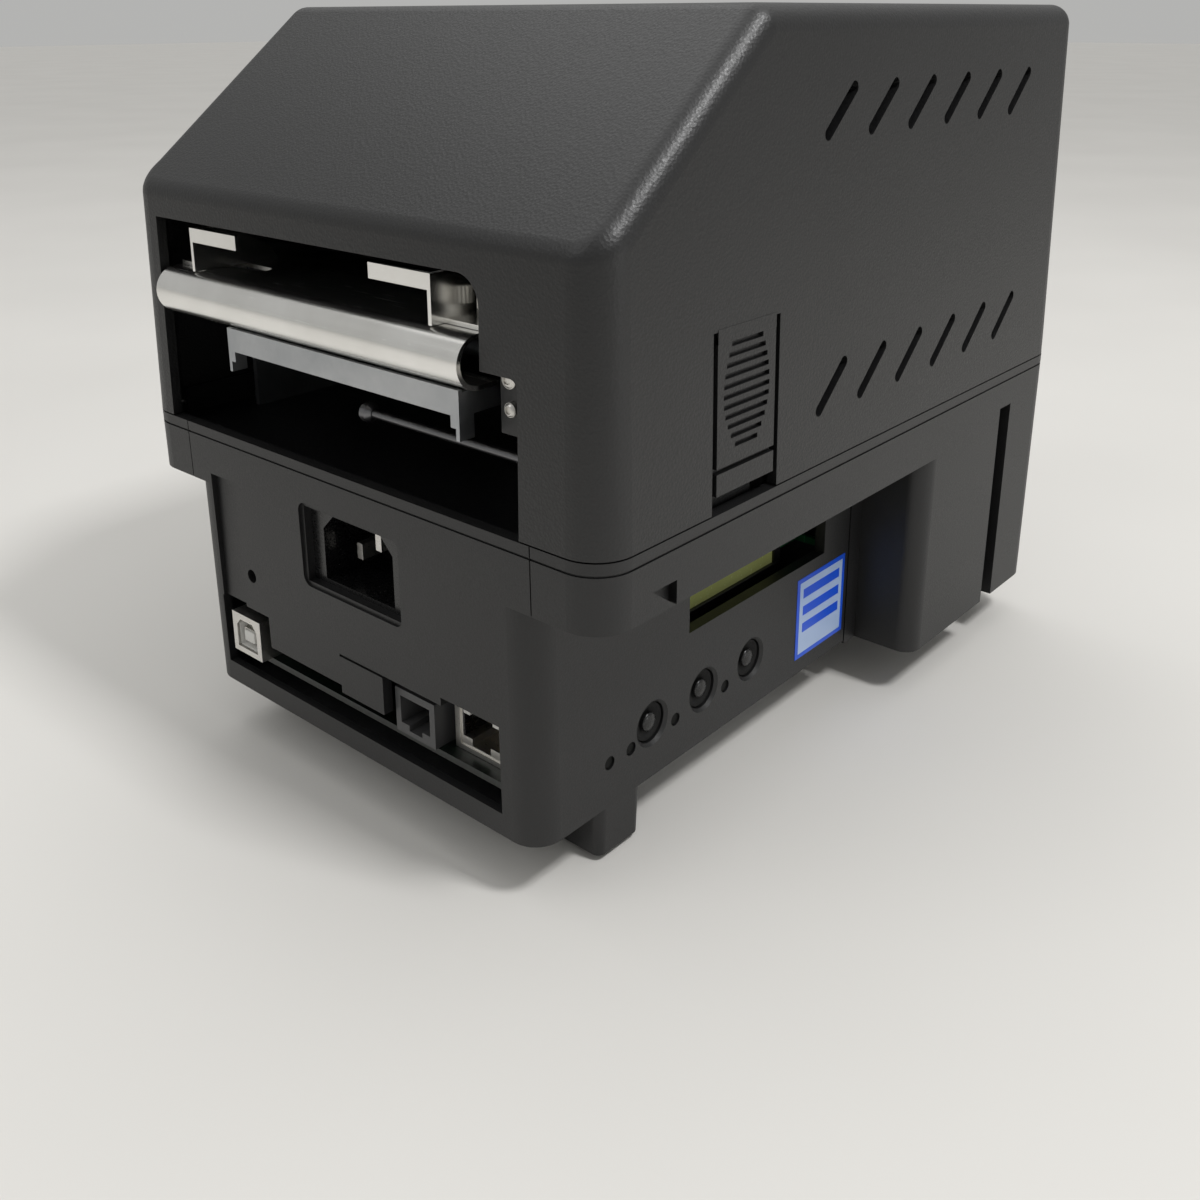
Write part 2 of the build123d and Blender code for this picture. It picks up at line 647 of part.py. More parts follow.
def make_stock_rod():
    # wire across the right half of the space under the guide, with a round stop at its free end
    y, z = at(rod_v), rod_z_level
    end = path_x - 8.0
    wire = rod_x(1.0, bracket_x, end, y, z)
    stop = Pos(end, y, z) * Rot(0, 90, 0) * (Cylinder(2.3, 1.6) + Pos(0, 0, 1.4) * Cone(2.3, 1.2, 1.2)
                                             + Pos(0, 0, -1.4) * Cone(1.2, 2.3, 1.2))
    return wire + stop


def make_rod_bracket():
    x, y = bracket_x, at(rod_v)
    upright = block(x - 1.5, x, y - 8, y + 6, deck_z, path_z - 4)
    foot = block(x - 10, x, y - 8, y + 6, deck_z, deck_z + 1.5)
    tab = block(x - 1.5, x + 6, y + 4.5, y + 6, path_z - 20, path_z - 5)
    return upright + foot + tab


# Platen drive

def make_platen_roller():
    roller = rod_x(platen_r - 0.3, path_x - roller_half, path_x + roller_half, platen_y, platen_z)
    return roller - rod_x(shaft_r + 1.5, path_x - roller_half - 1, path_x + roller_half + 1,
                            platen_y, platen_z)


def make_platen_shaft():
    core = rod_x(shaft_r + 1.5, path_x - roller_half, path_x + roller_half, platen_y, platen_z)
    return core + rod_x(shaft_r, gear_x - gear_face - 1.5, left_x + 4.5, platen_y, platen_z)


def make_platen_bushes():
    bushes = []
    for side in (1, -1):
        inner = left_x if side > 0 else right_x
        a, b = inner - side * 1.5, inner + side * (plate_t + 0.8)
        bush = rod_x(bush_r, min(a, b), max(a, b), platen_y, platen_z) \
            + rod_x(bush_r + 1.8, min(a, inner), max(a, inner), platen_y, platen_z)
        bushes.append(bush - rod_x(shaft_r + running, min(a, b) - 1, max(a, b) + 1, platen_y, platen_z))
    return group(bushes)


def mesh_turn(own, other, own_teeth, other_teeth, other_turn):
    # turn that sets this gear's gaps on the other gear's teeth along the line of centres
    towards = atan2(own[1] - other[1], own[0] - other[0])
    other_phase = (towards - other_turn) * other_teeth / (2 * pi)
    return towards + pi + (other_phase + 0.5) * 2 * pi / own_teeth


def make_platen_gear():
    wheel = gear(platen_teeth, gear_x - gear_face, gear_x, platen_y, platen_z, 0.0)
    wheel += rod_x(shaft_r + 2.5, gear_x, gear_x + 1.0, platen_y, platen_z)
    for k in range(6):
        a = 2 * pi * k / 6
        wheel -= rod_x(2.2, gear_x - gear_face - 1, gear_x + 1, platen_y + 9 * cos(a), platen_z + 9 * sin(a))
    return wheel - rod_x(shaft_r, gear_x - gear_face - 1, gear_x + 2, platen_y, platen_z)


def make_idler_gear():
    turn = mesh_turn(idler_axis, (platen_y, platen_z), idler_teeth, platen_teeth, 0.0)
    wheel = gear(idler_teeth, gear_x - gear_face + 0.5, gear_x - 0.5, *idler_axis, turn)
    return wheel - rod_x(2.0 + running, gear_x - gear_face, gear_x, *idler_axis)


def idler_stud():
    # riveted to the side plate, with a shoulder behind the idler
    stud = rod_x(2.0, gear_x - gear_face - 0.6, right_x - plate_t, *idler_axis)
    return stud + rod_x(3.2, gear_x - 0.2, right_x - plate_t, *idler_axis)


def make_motor_pinion():
    idler_turn = mesh_turn(idler_axis, (platen_y, platen_z), idler_teeth, platen_teeth, 0.0)
    turn = mesh_turn(motor_axis, idler_axis, motor_teeth, idler_teeth, idler_turn)
    wheel = gear(motor_teeth, gear_x - gear_face, gear_x, *motor_axis, turn)
    return wheel - rod_x(2.5, gear_x - gear_face - 1, gear_x + 1, *motor_axis)


def make_motor_shaft():
    return rod_x(2.5, gear_x - gear_face - 1, right_x + 6, *motor_axis)


def make_stepper_motor():
    y, z = motor_axis
    half = motor_size / 2
    body = None
    for x0, x1, cut in ((right_x, right_x + 7, 4), (right_x + 7, right_x + 25, 6), (right_x + 25, right_x + 33, 4)):
        part = chamfered_square(x0, x1, y, z, half - (0.5 if cut == 6 else 0), cut)
        body = part if body is None else body + part
    boss = rod_x(11.0, right_x - plate_t, right_x, y, z)
    body += boss
    return body - rod_x(2.5 + running, right_x - 5, right_x + 7, y, z)


def chamfered_square(x0, x1, y, z, half, cut):
    points = [(y - half + cut, z - half), (y + half - cut, z - half), (y + half, z - half + cut),
              (y + half, z + half - cut), (y + half - cut, z + half), (y - half + cut, z + half),
              (y - half, z + half - cut), (y - half, z - half + cut)]
    return side_prism(points, x0, x1)


# Print head

def make_head_heatsink():
    x0, x1 = path_x - roller_half + 3, path_x + roller_half - 3
    low = path_z + 1.9
    body = block(x0, x1, platen_y - 16, platen_y + 7, low, low + 4)
    for k in range(8):
        y = platen_y - 15.5 + 3 * k
        body += block(x0 + 4, x1 - 4, y, y + 1.1, low + 4, low + 11)
    return body


def make_print_head():
    # ceramic strip with the raised line of heating dots over the platen
    x0, x1 = path_x - roller_half + 4, path_x + roller_half - 4
    strip = block(x0, x1, platen_y - 9, platen_y + 6, path_z + 0.5, path_z + 1.9)
    return strip + rod_x(0.8, x0 + 1, x1 - 1, platen_y, path_z + 1.1)


def make_head_carrier():
    y, z = head_pivot
    inner = guide_width / 2 - 1.2
    top = path_z + 1.9 + 11
    plate = block(path_x - inner, path_x + inner, y + 2, platen_y + 9, top, top + 1.5)
    lip = block(path_x - inner, path_x + inner, platen_y + 9, platen_y + 16, top, top + 1.5)
    carrier = plate + lip
    for side in (1, -1):
        x = path_x + side * inner
        ear = side_prism([(y - 4, z - 4.5), (y - 4, z + 4.5), (platen_y + 9, top + 1.5), (platen_y + 9, path_z + 2.4),
                          (y + 6, path_z + 6)], min(x, x - side * 1.5), max(x, x - side * 1.5))
        carrier += ear
    carrier -= rod_x(shaft_r, path_x - inner - 1, path_x + inner + 1, y, z)
    return carrier


def make_head_shaft():
    return rod_x(shaft_r, right_x - plate_t - 2, left_x + plate_t + 2, *head_pivot)


def make_lift_shaft():
    shaft = rod_x(shaft_r, right_x - plate_t - 2, left_x + 8, *lift_pivot)
    y, z = lift_pivot
    lip_z = path_z + 12.9
    for side in (1, -1):
        x = path_x + side * (roller_half - 7)
        finger = side_prism([(y + 2, z - 2.4), (y + 2, z + 1.6), (y - 8.5, lip_z - 0.7), (y - 10, lip_z - 1.7),
                             (y - 10, lip_z - 3.2), (y - 8, z - 2.4)], x - 3, x + 3)
        shaft += finger
    return shaft


def make_release_lever():
    y, z = lift_pivot
    x0, x1 = left_x + plate_t + 1.2, left_x + plate_t + 4.2
    arm = lever_arm(0) + rod_x(5.5, x0, x1, y, z)
    return arm - rod_x(shaft_r, x0 - 1, x1 + 1, y, z)


def lever_arm(room):
    # the lever's flat arm, grown by room on its broad faces
    y, z = lift_pivot
    x0, x1 = left_x + plate_t + 1.2 - room, left_x + plate_t + 4.2 + room
    return side_prism([(y - 4.5, z - 4), (y + 4.5, z - 4), (y + 10, z + 28), (y + 4, z + 29)], x0, x1)


def make_lever_grip():
    y, z = lift_pivot
    x0, x1 = left_x + plate_t + 0.6, left_x + plate_t + 4.8
    grip = rod_x(5.0, x0, x1, y + 7.2, z + 29.5)
    return grip - lever_arm(fit / 6)


# Cutter

def make_cutter_frame():
    x0, x1 = right_x + fit, left_x - fit
    beam = block(x0, x1, at(cutter_v + 4.5), at(cutter_v - 3), path_z + 5, path_z + 9)
    beam += block(x0, x1, at(cutter_v - 0.6), at(cutter_v - 3), path_z + 5, path_z + 21)
    beam += block(x0, x0 + cutter_upright, at(cutter_v + 4.5), at(cutter_v - 3), path_z - 20, path_z + 21)
    beam += block(x1 - cutter_upright, x1, at(cutter_v + 4.5), at(cutter_v - 3), path_z - 20, path_z + 21)
    beam += block(x0, x1, at(cutter_v + 4.5), at(cutter_v - 3), path_z - 20, path_z - 12)
    beam -= block(x0 + cutter_upright, x0 + 16, at(cutter_v + 5), at(cutter_v + 1.9), path_z + 4, path_z + 10)
    beam -= block(path_x - blade_slot_half, path_x + blade_slot_half, at(cutter_v + 1.9), at(cutter_v - 0.6),
                  path_z - 11, path_z + 22)
    return beam


def make_fixed_blade():
    # its square upper edge lies just under the ticket
    return block(path_x - blade_half, path_x + blade_half, at(cutter_v - 0.7), at(cutter_v - 3), path_z - 11.9, path_z - 0.3)


def make_moving_blade():
    x0, x1 = path_x - blade_slot_half + fit, path_x + blade_slot_half - fit
    y0, y1 = at(cutter_v + 1.0), at(cutter_v - 0.5)
    low = path_z + 4.2
    blade = rear_prism([(x0, low), (path_x, low + 2.6), (x1, low), (x1, low + 20), (x0, low + 20)], y0, y1)
    return blade


def blade_rack():
    # upright rack fixed to the blade's end, driven by the cutter pinion
    x0, x1 = right_x + 8, right_x + 13
    y = at(cutter_v + 1.0)
    pitch = pi * gear_module
    pitch_y = cutter_axis[0] + cutter_pitch_r
    tip, root = pitch_y - gear_module * 0.95, pitch_y + gear_module * 1.25
    count = 9
    low = path_z + 9.2
    points = [(y, low), (root, low)]
    for k in range(count):
        z = cutter_axis[1] + (k - count // 2 + 0.5) * pitch
        half_root = pitch / 4 + tan(radians(20)) * gear_module * 1.25 - 0.08
        half_tip = pitch / 4 - tan(radians(20)) * gear_module * 0.95 - 0.08
        points += [(root, z - half_root), (tip, z - half_tip), (tip, z + half_tip), (root, z + half_root)]
    points = [p for p in points if p[1] >= low] + [(root, path_z + 24.2), (y, path_z + 24.2)]
    return side_prism(points, x0, x1)


def make_cutter_pinion():
    wheel = gear(cutter_teeth, right_x + 7, right_x + 14, *cutter_axis, 0.0)
    return wheel + rod_x(cutter_shaft_r, right_x - plate_t - 4, right_x + 15, *cutter_axis)


def make_cutter_motor():
    x1 = right_x - plate_t
    body = rod_x(10.5, x1 - 22, x1, *cutter_axis)
    cap = rod_x(4, x1 - 23.5, x1 - 22, *cutter_axis)
    return body + cap - rod_x(cutter_shaft_r + running, x1 - 6, x1 + 1, *cutter_axis)


def make_exit_bezel():
    # thin frame in the cover's exit slot, with a serrated tear edge left plain
    lean = (path_z - seam_z) * tan(radians(cover_draft))
    y0, y1 = front_y + lean - 1.0, front_y + lean + cover_wall + 1.5
    outer = block(path_x - exit_half + 0.1, path_x + exit_half - 0.1, y0, y1,
                  path_z - exit_reach + 0.1, path_z + exit_reach - 0.1)
    outer += block(path_x - exit_half - 2, path_x + exit_half + 2, y0, front_y + lean - 0.25,
                   path_z - exit_reach - 2, path_z + exit_reach + 2)
    return outer - block(path_x - exit_half + 2, path_x + exit_half - 2, y0 - 1, y1 + 1,
                         path_z - exit_reach + 2, path_z + exit_reach - 2)


# Electronics

def make_main_board():
    return block(network_x - 10, box_x - 6.6, at(box_depth - 11.6), at(3.6), board_z, board_z + board_t)


def board_chips():
    z = board_z + board_t
    return [
        block(-8, 14, at(62), at(40), z, z + 2.2),
        block(18, 30, at(50), at(36), z, z + 1.8),
        block(22, 34, at(70), at(56), z, z + 1.8),
        block(-30, -20, at(64), at(50), z, z + 1.8),
        rod_z(4, 38, at(34), z, z + 10), rod_z(4, 38, at(46), z, z + 10),
        block(-40, -36, at(100), at(70), z, z + 7),
    ]


def make_usb_socket():
    z = board_z + board_t
    x, low = usb_x, z + 0.1
    shell = block(x - 6.0, x + 6.0, at(16.6), at(0.4), low, low + 10.9)
    mouth = rear_prism([(x - 4.2, low + 1.5), (x + 4.2, low + 1.5), (x + 4.2, low + 7.5), (x + 2.6, low + 9.3),
                        (x - 2.6, low + 9.3), (x - 4.2, low + 7.5)], at(9.4), at(-1))
    core = block(x - 2.8, x + 2.8, at(9.4), at(1.6), low + 3.6, low + 6.8)
    return shell - mouth + core


def make_phone_socket():
    z = board_z + board_t + 0.1
    x0, x1 = phone_x - 6.6, phone_x + 6.6
    body = block(x0, x1, at(16), at(2.7), z, z + 11.2)
    cut = rear_prism([(x0 + 1.7, z + 2.6), (x1 - 1.7, z + 2.6), (x1 - 1.7, z + 9.4), (x0 + 1.7, z + 9.4)],
                     at(13), at(0))
    key = rear_prism([(x0 + 4.4, z + 1.2), (x1 - 4.4, z + 1.2), (x1 - 4.4, z + 3), (x0 + 4.4, z + 3)],
                     at(13), at(0))
    return body - cut - key


def network_core():
    z = board_z + board_t + 0.1
    x0, x1 = network_x - 7.9, network_x + 7.9
    body = block(x0 + 0.4, x1 - 0.4, at(22), at(7.4), z, z + 12.6)
    cut = rear_prism([(x0 + 2.1, z + 3.4), (x1 - 2.1, z + 3.4), (x1 - 2.1, z + 11), (x0 + 2.1, z + 11)],
                     at(19), at(0))
    key = rear_prism([(x0 + 5, z + 1.6), (x1 - 5, z + 1.6), (x1 - 5, z + 4), (x0 + 5, z + 4)], at(19), at(0))
    return body - cut - key


def network_shield():
    z = board_z + board_t + 0.1
    x0, x1 = network_x - 7.9, network_x + 7.9
    skin = block(x0, x1, at(22), at(7.0), z, z + 13.0)
    skin -= block(x0 + 0.4, x1 - 0.4, at(23), at(7.4), z - 1, z + 12.6)
    skin -= rear_prism([(x0 + 1.6, z + 1.2), (x1 - 1.6, z + 1.2), (x1 - 1.6, z + 11.6), (x0 + 1.6, z + 11.6)],
                       at(8), at(6))
    return skin


def make_port_blank():
    x0, x1 = blank_x - 7.7, blank_x + 7.7
    face = block(x0, x1, at(base_wall), at(0.35), box_z + 15.6, box_z + 25.1)
    return face + block(x0 + 2, x1 - 2, at(base_wall + 1.2), at(base_wall), box_z + 17.5, box_z + 28)


def make_mains_inlet():
    x, z = inlet_x, inlet_z
    flange = block(x - 18.5, x + 18.5, at(base_wall + 2.2), at(base_wall), z - 11.5, z + 11.5)
    body = flange + block(x - 14.5, x + 14.5, at(22), at(base_wall + 2.2), z - 10, z + 10)
    w, h, cut = 12.3, 8.3, 4.0
    cavity = rear_prism([(x - w, z + h - cut), (x - w + cut, z + h), (x + w - cut, z + h), (x + w, z + h - cut),
                         (x + w, z - h), (x - w, z - h)], at(19), at(0))
    return body - cavity


def make_inlet_pins():
    x, z = inlet_x, inlet_z
    pins = []
    for dx, dz in ((-7, -2), (7, -2), (0, 2)):
        pins.append(block(x + dx - 1, x + dx + 1, at(19), at(base_wall + 6), z + dz - 2, z + dz + 2))
    return group(pins)


def make_power_board():
    x0, x1, v1 = -box_x + 21.6, box_x - 7.6, box_depth - 11.6
    plate = block(x0, x1, at(v1), at(26), power_z, power_z + board_t)
    for x in (x0 + 4, x1 - 4):
        for v in (30, v1 - 4):
            plate += rod_z(2.5, x, at(v), board_z + board_t, power_z)
    return plate


def transformer():
    z = power_z + board_t
    core = block(-6, 22, at(82), at(52), z, z + 17)
    return core + block(-9, 25, at(76), at(58), z + 3, z + 14)


def capacitors():
    z = power_z + board_t
    return [rod_z(7, 40, at(40), z, z + 19), rod_z(5, 38, at(60), z, z + 15), rod_z(5, 38, at(74), z, z + 15)]


def make_display_board():
    # behind the window, with a stop at its front end and the display's frame below the glass
    x, end = display_x, box_depth - 4.6
    board = block(x, x + board_t, at(end), at(46), box_z + 30, box_z + 52)
    board += block(-box_x + base_wall + fit, x, at(end), at(end - board_t), box_z + 30, box_z + 32)
    return board


def make_display_glass():
    return block(display_x - display_t, display_x, at(box_depth - 22.6), at(50), box_z + 31, box_z + 51)


def make_button_board():
    x = -box_x + base_wall + 5.5
    return block(x, x + board_t, at(first_button + 2 * button_pitch + 14), at(first_button - 21),
                 box_z + 4, box_z + 26)


def button_place(k):
    return at(first_button + button_pitch * k), box_z + control_rise


def tact_switches():
    # each stands just clear of its button pressed right in
    x = -box_x + base_wall + 5.5
    face = -box_x + base_wall + 1.4 + button_travel + fit
    return [block(face, x, y - 3, y + 3, z - 3, z + 3) for y, z in map(button_place, range(3))]


def make_button(k):
    y, z = button_place(k)
    inner = -box_x + base_wall
    face = -box_x + button_sink
    cap = rod_x(button_r, face, inner + 1.4, y, z)
    dish = Pos(face + 0.6, y, z) * Rot(0, 90, 0) * Cone(button_r - 0.6, 1.5, 1.2)
    flange = rod_x(button_r + 1.4, inner + 0.1, inner + 1.4, y, z)
    return cap - dish + flange


def make_indicator_lenses():
    x = -box_x + base_wall + 5.5
    return group([rod_x(1.4, -box_x + 0.4, x, at(v), box_z + led_rise) for v in led_places])


def make_screws():
    # round heads on the rod's bracket, and under the box
    face, x = at(rod_v) + 6, bracket_x + 2.4
    screws = [rod_y(1.9, x, face, face + 1.4, path_z - 8.2), rod_y(1.5, x, face, face + 1.2, path_z - 14.4)]
    for x in (-box_x + 7, box_x - 7):
        for v in (10, box_depth - 9.6):
            screws.append(rod_z(2.8, x, at(v), box_z - 0.6, box_z + 1))
    return group(screws)


def main():
    os.makedirs("parts", exist_ok=True)
    outer, inner = cover_form(0), cover_form(cover_wall)
    parts = {
        "top_cover": make_top_cover(outer, inner),
        "latch_left": latch_tongue(1, outer, inner),
        "latch_right": latch_tongue(-1, outer, inner),
        "exit_bezel": make_exit_bezel(),
        "base_frame": make_base_frame(),
        "hinge_pins": make_hinge_pins(),
        "electronics_housing": make_electronics_housing(),
        "bottom_plate": make_bottom_plate(),
        "legs": group([make_leg(x, v) for x, v in leg_places]),
        "rubber_pads": make_rubber_pads(),
        "screws": make_screws(),
        "deck_plate": make_deck_plate(),
        "side_plate_left": make_side_plate(1),
        "side_plate_right": make_side_plate(-1),
        "tie_bars": make_tie_bars(),
        "ticket_guide": make_ticket_guide(),
        "guide_support": make_guide_support(),
        "edge_guide_left": make_edge_guide(1),
        "edge_guide_right": make_edge_guide(-1),
        "guide_screw_left": make_guide_screw(1),
        "guide_screw_right": make_guide_screw(-1),
        "upper_guide": make_upper_guide(),
        "front_guide": make_front_guide(),
        "stock_rod": make_stock_rod(),
        "rod_bracket": make_rod_bracket(),
        "platen_roller": make_platen_roller(),
        "platen_shaft": make_platen_shaft(),
        "platen_bushes": make_platen_bushes(),
        "platen_gear": make_platen_gear(),
        "idler_gear": make_idler_gear(),
        "motor_pinion": make_motor_pinion(),
        "motor_shaft": make_motor_shaft(),
        "stepper_motor": make_stepper_motor(),
        "print_head": make_print_head(),
        "head_heatsink": make_head_heatsink(),
        "head_carrier": make_head_carrier(),
        "head_shaft": make_head_shaft(),
        "lift_shaft": make_lift_shaft(),
        "release_lever": make_release_lever(),
        "lever_grip": make_lever_grip(),
        "cutter_frame": make_cutter_frame(),
        "fixed_blade": make_fixed_blade(),
        "moving_blade": group([make_moving_blade(), blade_rack()]),
        "cutter_pinion": make_cutter_pinion(),
        "cutter_motor": make_cutter_motor(),
        "main_board": group([make_main_board()] + board_chips()),
        "usb_socket": make_usb_socket(),
        "phone_socket": make_phone_socket(),
        "network_socket": group([network_core(), network_shield()]),
        "port_blank": make_port_blank(),
        "mains_inlet": make_mains_inlet(),
        "inlet_pins": make_inlet_pins(),
        "power_board": group([make_power_board(), transformer()] + capacitors()),
        "display_board": make_display_board(),
        "button_board": group([make_button_board()] + tact_switches()),
        "indicator_lenses": make_indicator_lenses(),
        "display_glass": make_display_glass(),
    }
    for k in range(3):
        parts[f"button_{k + 1}"] = make_button(k)
    for name, shape in parts.items():
        export_step(shape, f"parts/{name}.step")
    print(len(parts), "pieces")


main()
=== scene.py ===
import math
import bpy
from mathutils import Matrix, Vector


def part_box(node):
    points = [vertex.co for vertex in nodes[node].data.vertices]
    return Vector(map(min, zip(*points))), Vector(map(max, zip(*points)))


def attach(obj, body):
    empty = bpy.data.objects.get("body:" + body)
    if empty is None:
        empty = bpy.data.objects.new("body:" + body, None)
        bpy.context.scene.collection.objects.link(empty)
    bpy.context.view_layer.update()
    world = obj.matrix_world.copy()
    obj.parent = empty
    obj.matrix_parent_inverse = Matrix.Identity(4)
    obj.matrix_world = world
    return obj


# Looks of the ticket printer. Everything is in metres; mm(...) takes millimetres.
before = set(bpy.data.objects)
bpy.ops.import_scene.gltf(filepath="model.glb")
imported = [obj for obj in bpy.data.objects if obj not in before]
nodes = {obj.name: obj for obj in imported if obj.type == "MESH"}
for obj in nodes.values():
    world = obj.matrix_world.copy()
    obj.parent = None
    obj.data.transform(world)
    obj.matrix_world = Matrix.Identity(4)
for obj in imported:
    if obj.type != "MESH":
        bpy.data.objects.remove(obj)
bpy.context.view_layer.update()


def mm(*values):
    scaled = [v / 1000 for v in values]
    return scaled[0] if len(scaled) == 1 else Vector(scaled)


def corners(node):
    low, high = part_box(node)
    return Vector(low), Vector(high)


# Materials. Patterns and reliefs are sized in millimetres; bumps and shares have no unit.

patternLook = {"absCloud": 38.0, "fineShare": 0.6, "metalCloud": 14.0, "metalBump": 0.3, "metalDeep": 0.02,
               "coatCloud": 22.0, "coatDeep": 0.05, "boardTracks": 9.0, "trackShare": 0.02, "boardWeave": 0.8}
noiseSpan = (0.3, 0.7)      # most of a noise lies between these


def linear(hexColour):
    # sRGB hex to the linear colour that a shader takes
    channels = [int(hexColour[i:i + 2], 16) / 255 for i in (1, 3, 5)]
    return [c / 12.92 if c <= 0.04045 else ((c + 0.055) / 1.055) ** 2.4 for c in channels] + [1.0]


def addNode(tree, kind, settings=None, links=None):
    # one shader node: values by socket name, socket number or property, the stops of a
    # colour ramp as places and hex colours, and its incoming links
    node = tree.nodes.new(kind)
    for name, value in (settings or {}).items():
        if name == "stops":
            for element, (spot, colour) in zip(node.color_ramp.elements, value):
                element.position, element.color = spot, linear(colour)
        elif isinstance(name, int) or name in node.inputs.keys():
            node.inputs[name].default_value = value
        else:
            setattr(node, name, value)
    for name, source in (links or {}).items():
        tree.links.new(source, node.inputs[name])
    return node


def startMaterial(name, colour, roughness, metallic=0.0, ior=None):
    material = bpy.data.materials.new(name)
    material.use_nodes = True
    tree = material.node_tree
    shader = tree.nodes["Principled BSDF"]
    shader.inputs["Base Color"].default_value = linear(colour)
    shader.inputs["Roughness"].default_value = roughness
    shader.inputs["Metallic"].default_value = metallic
    if ior:
        shader.inputs["IOR"].default_value = ior
    place = addNode(tree, "ShaderNodeTexCoord").outputs["Object"]
    return material, tree, shader, place


def dressShader(tree, shader, cloud, tones, grain, rough, height, bump, deep):
    # what plastics, coats and metals share: drifting tone, uneven sheen and a fine relief
    tone = addNode(tree, "ShaderNodeValToRGB", {"stops": list(zip(noiseSpan, tones))},
                   {"Fac": cloud.outputs["Fac"]})
    sheen = addNode(tree, "ShaderNodeMapRange",
                    {"From Min": noiseSpan[0], "From Max": noiseSpan[1],
                     "To Min": rough[0], "To Max": rough[1]}, {"Value": grain.outputs["Fac"]})
    relief = addNode(tree, "ShaderNodeBump", {"Strength": bump, "Distance": mm(deep)}, {"Height": height})
    tree.links.new(tone.outputs["Color"], shader.inputs["Base Color"])
    tree.links.new(sheen.outputs["Result"], shader.inputs["Roughness"])
    tree.links.new(relief.outputs["Normal"], shader.inputs["Normal"])


def grainAbs(name, look):
    # moulded ABS from a spark-eroded tool: small round grains with tiny bright tops
    material, tree, shader, place = startMaterial(name, look["colour"], look["rough"][0], ior=look["ior"])
    grain = addNode(tree, "ShaderNodeTexVoronoi", {"Scale": 1000 / look["grain"], "Randomness": 1.0},
                    {"Vector": place})
    fine = addNode(tree, "ShaderNodeTexNoise",
                   {"Scale": 1000 / look["fine"], "Detail": 3.0, "Roughness": 0.6}, {"Vector": place})
    cloud = addNode(tree, "ShaderNodeTexNoise", {"Scale": 1000 / patternLook["absCloud"], "Detail": 2.0},
                    {"Vector": place})
    height = addNode(tree, "ShaderNodeMath", {"operation": "MULTIPLY_ADD", 1: patternLook["fineShare"]},
                     {0: fine.outputs["Fac"], 2: grain.outputs["Distance"]})
    dressShader(tree, shader, cloud, (look["colour"], look["light"]), fine, look["rough"],
                height.outputs["Value"], look["bump"], look["deep"])
    return material


def brushedMetal(name, look):
    # drawn and brushed sheet: fine streaks along one axis, soft cloudy tone
    material, tree, shader, place = startMaterial(name, look["colour"], look["rough"][0], 1.0)
    stretch = addNode(tree, "ShaderNodeMapping", {"Scale": look["stretch"]}, {"Vector": place})
    streak = addNode(tree, "ShaderNodeTexNoise",
                     {"Scale": 1000 / look["streak"], "Detail": 4.0, "Roughness": 0.7},
                     {"Vector": stretch.outputs["Vector"]})
    cloud = addNode(tree, "ShaderNodeTexNoise", {"Scale": 1000 / patternLook["metalCloud"], "Detail": 3.0},
                    {"Vector": place})
    dressShader(tree, shader, cloud, (look["dark"], look["colour"]), streak, look["rough"],
                streak.outputs["Fac"], patternLook["metalBump"], patternLook["metalDeep"])
    return material


def softCoat(name, look):
    # powder coat, nylon, rubber and the like: a fine orange-peel skin of one colour
    material, tree, shader, place = startMaterial(name, look["colour"], look["rough"][0],
                                                  look.get("metal", 0.0), look.get("ior"))
    # a glow is painted light: the colour shines by itself, with no lamp behind it
    if "glow" in look:
        glow, strength = look["glow"]
        shader.inputs["Emission Color"].default_value = linear(glow)
        shader.inputs["Emission Strength"].default_value = strength
    peel = addNode(tree, "ShaderNodeTexNoise", {"Scale": 1000 / look["grain"], "Detail": 2.0},
                   {"Vector": place})
    cloud = addNode(tree, "ShaderNodeTexNoise", {"Scale": 1000 / patternLook["coatCloud"], "Detail": 2.0},
                    {"Vector": place})
    dressShader(tree, shader, cloud, (look["colour"], look["light"]), peel, look["rough"],
                peel.outputs["Fac"], look["bump"], patternLook["coatDeep"])
    return material


def circuitBoard(name, look):
    # glass-epoxy laminate under solder resist, with copper tracks showing through as lighter lines
    material, tree, shader, place = startMaterial(name, look["resist"], look["rough"], ior=look["ior"])
    tracks = addNode(tree, "ShaderNodeTexBrick",
                     {"Scale": 1000 / patternLook["boardTracks"], "Color1": linear(look["resist"]),
                      "Color2": linear(look["dark"]), "Mortar": linear(look["track"]),
                      "Mortar Size": patternLook["trackShare"]}, {"Vector": place})
    weave = addNode(tree, "ShaderNodeTexNoise", {"Scale": 1000 / patternLook["boardWeave"], "Detail": 1.0},
                    {"Vector": place})
    relief = addNode(tree, "ShaderNodeBump", {"Strength": look["bump"], "Distance": mm(look["deep"])},
                     {"Height": weave.outputs["Fac"]})
    tree.links.new(tracks.outputs["Color"], shader.inputs["Base Color"])
    tree.links.new(relief.outputs["Normal"], shader.inputs["Normal"])
    return material


# cover ABS: speckled black sheen. Its grain is drawn at 0.7 mm, coarser than the real 0.3 mm, to show
coverAbs = grainAbs("MouldedAbsCoverGrain", {
    "colour": "#0A0A0B", "light": "#0D0D0E", "grain": 0.7, "fine": 0.4, "bump": 0.55, "deep": 0.09,
    "rough": (0.36, 0.52), "ior": 1.54})
# base ABS: flatter and more even black. Its grain too is drawn coarser than the real one
fineAbs = grainAbs("MouldedAbsFineMatt", {
    "colour": "#0C0C0D", "light": "#101011", "grain": 0.6, "fine": 0.3, "bump": 0.3, "deep": 0.06,
    "rough": (0.40, 0.54), "ior": 1.54})
# polished mould: clear dark reflections
glossAbs = softCoat("MouldedAbsGloss", {
    "colour": "#09090A", "light": "#0C0C0D", "grain": 0.5, "bump": 0.08, "rough": (0.24, 0.32), "ior": 1.54})
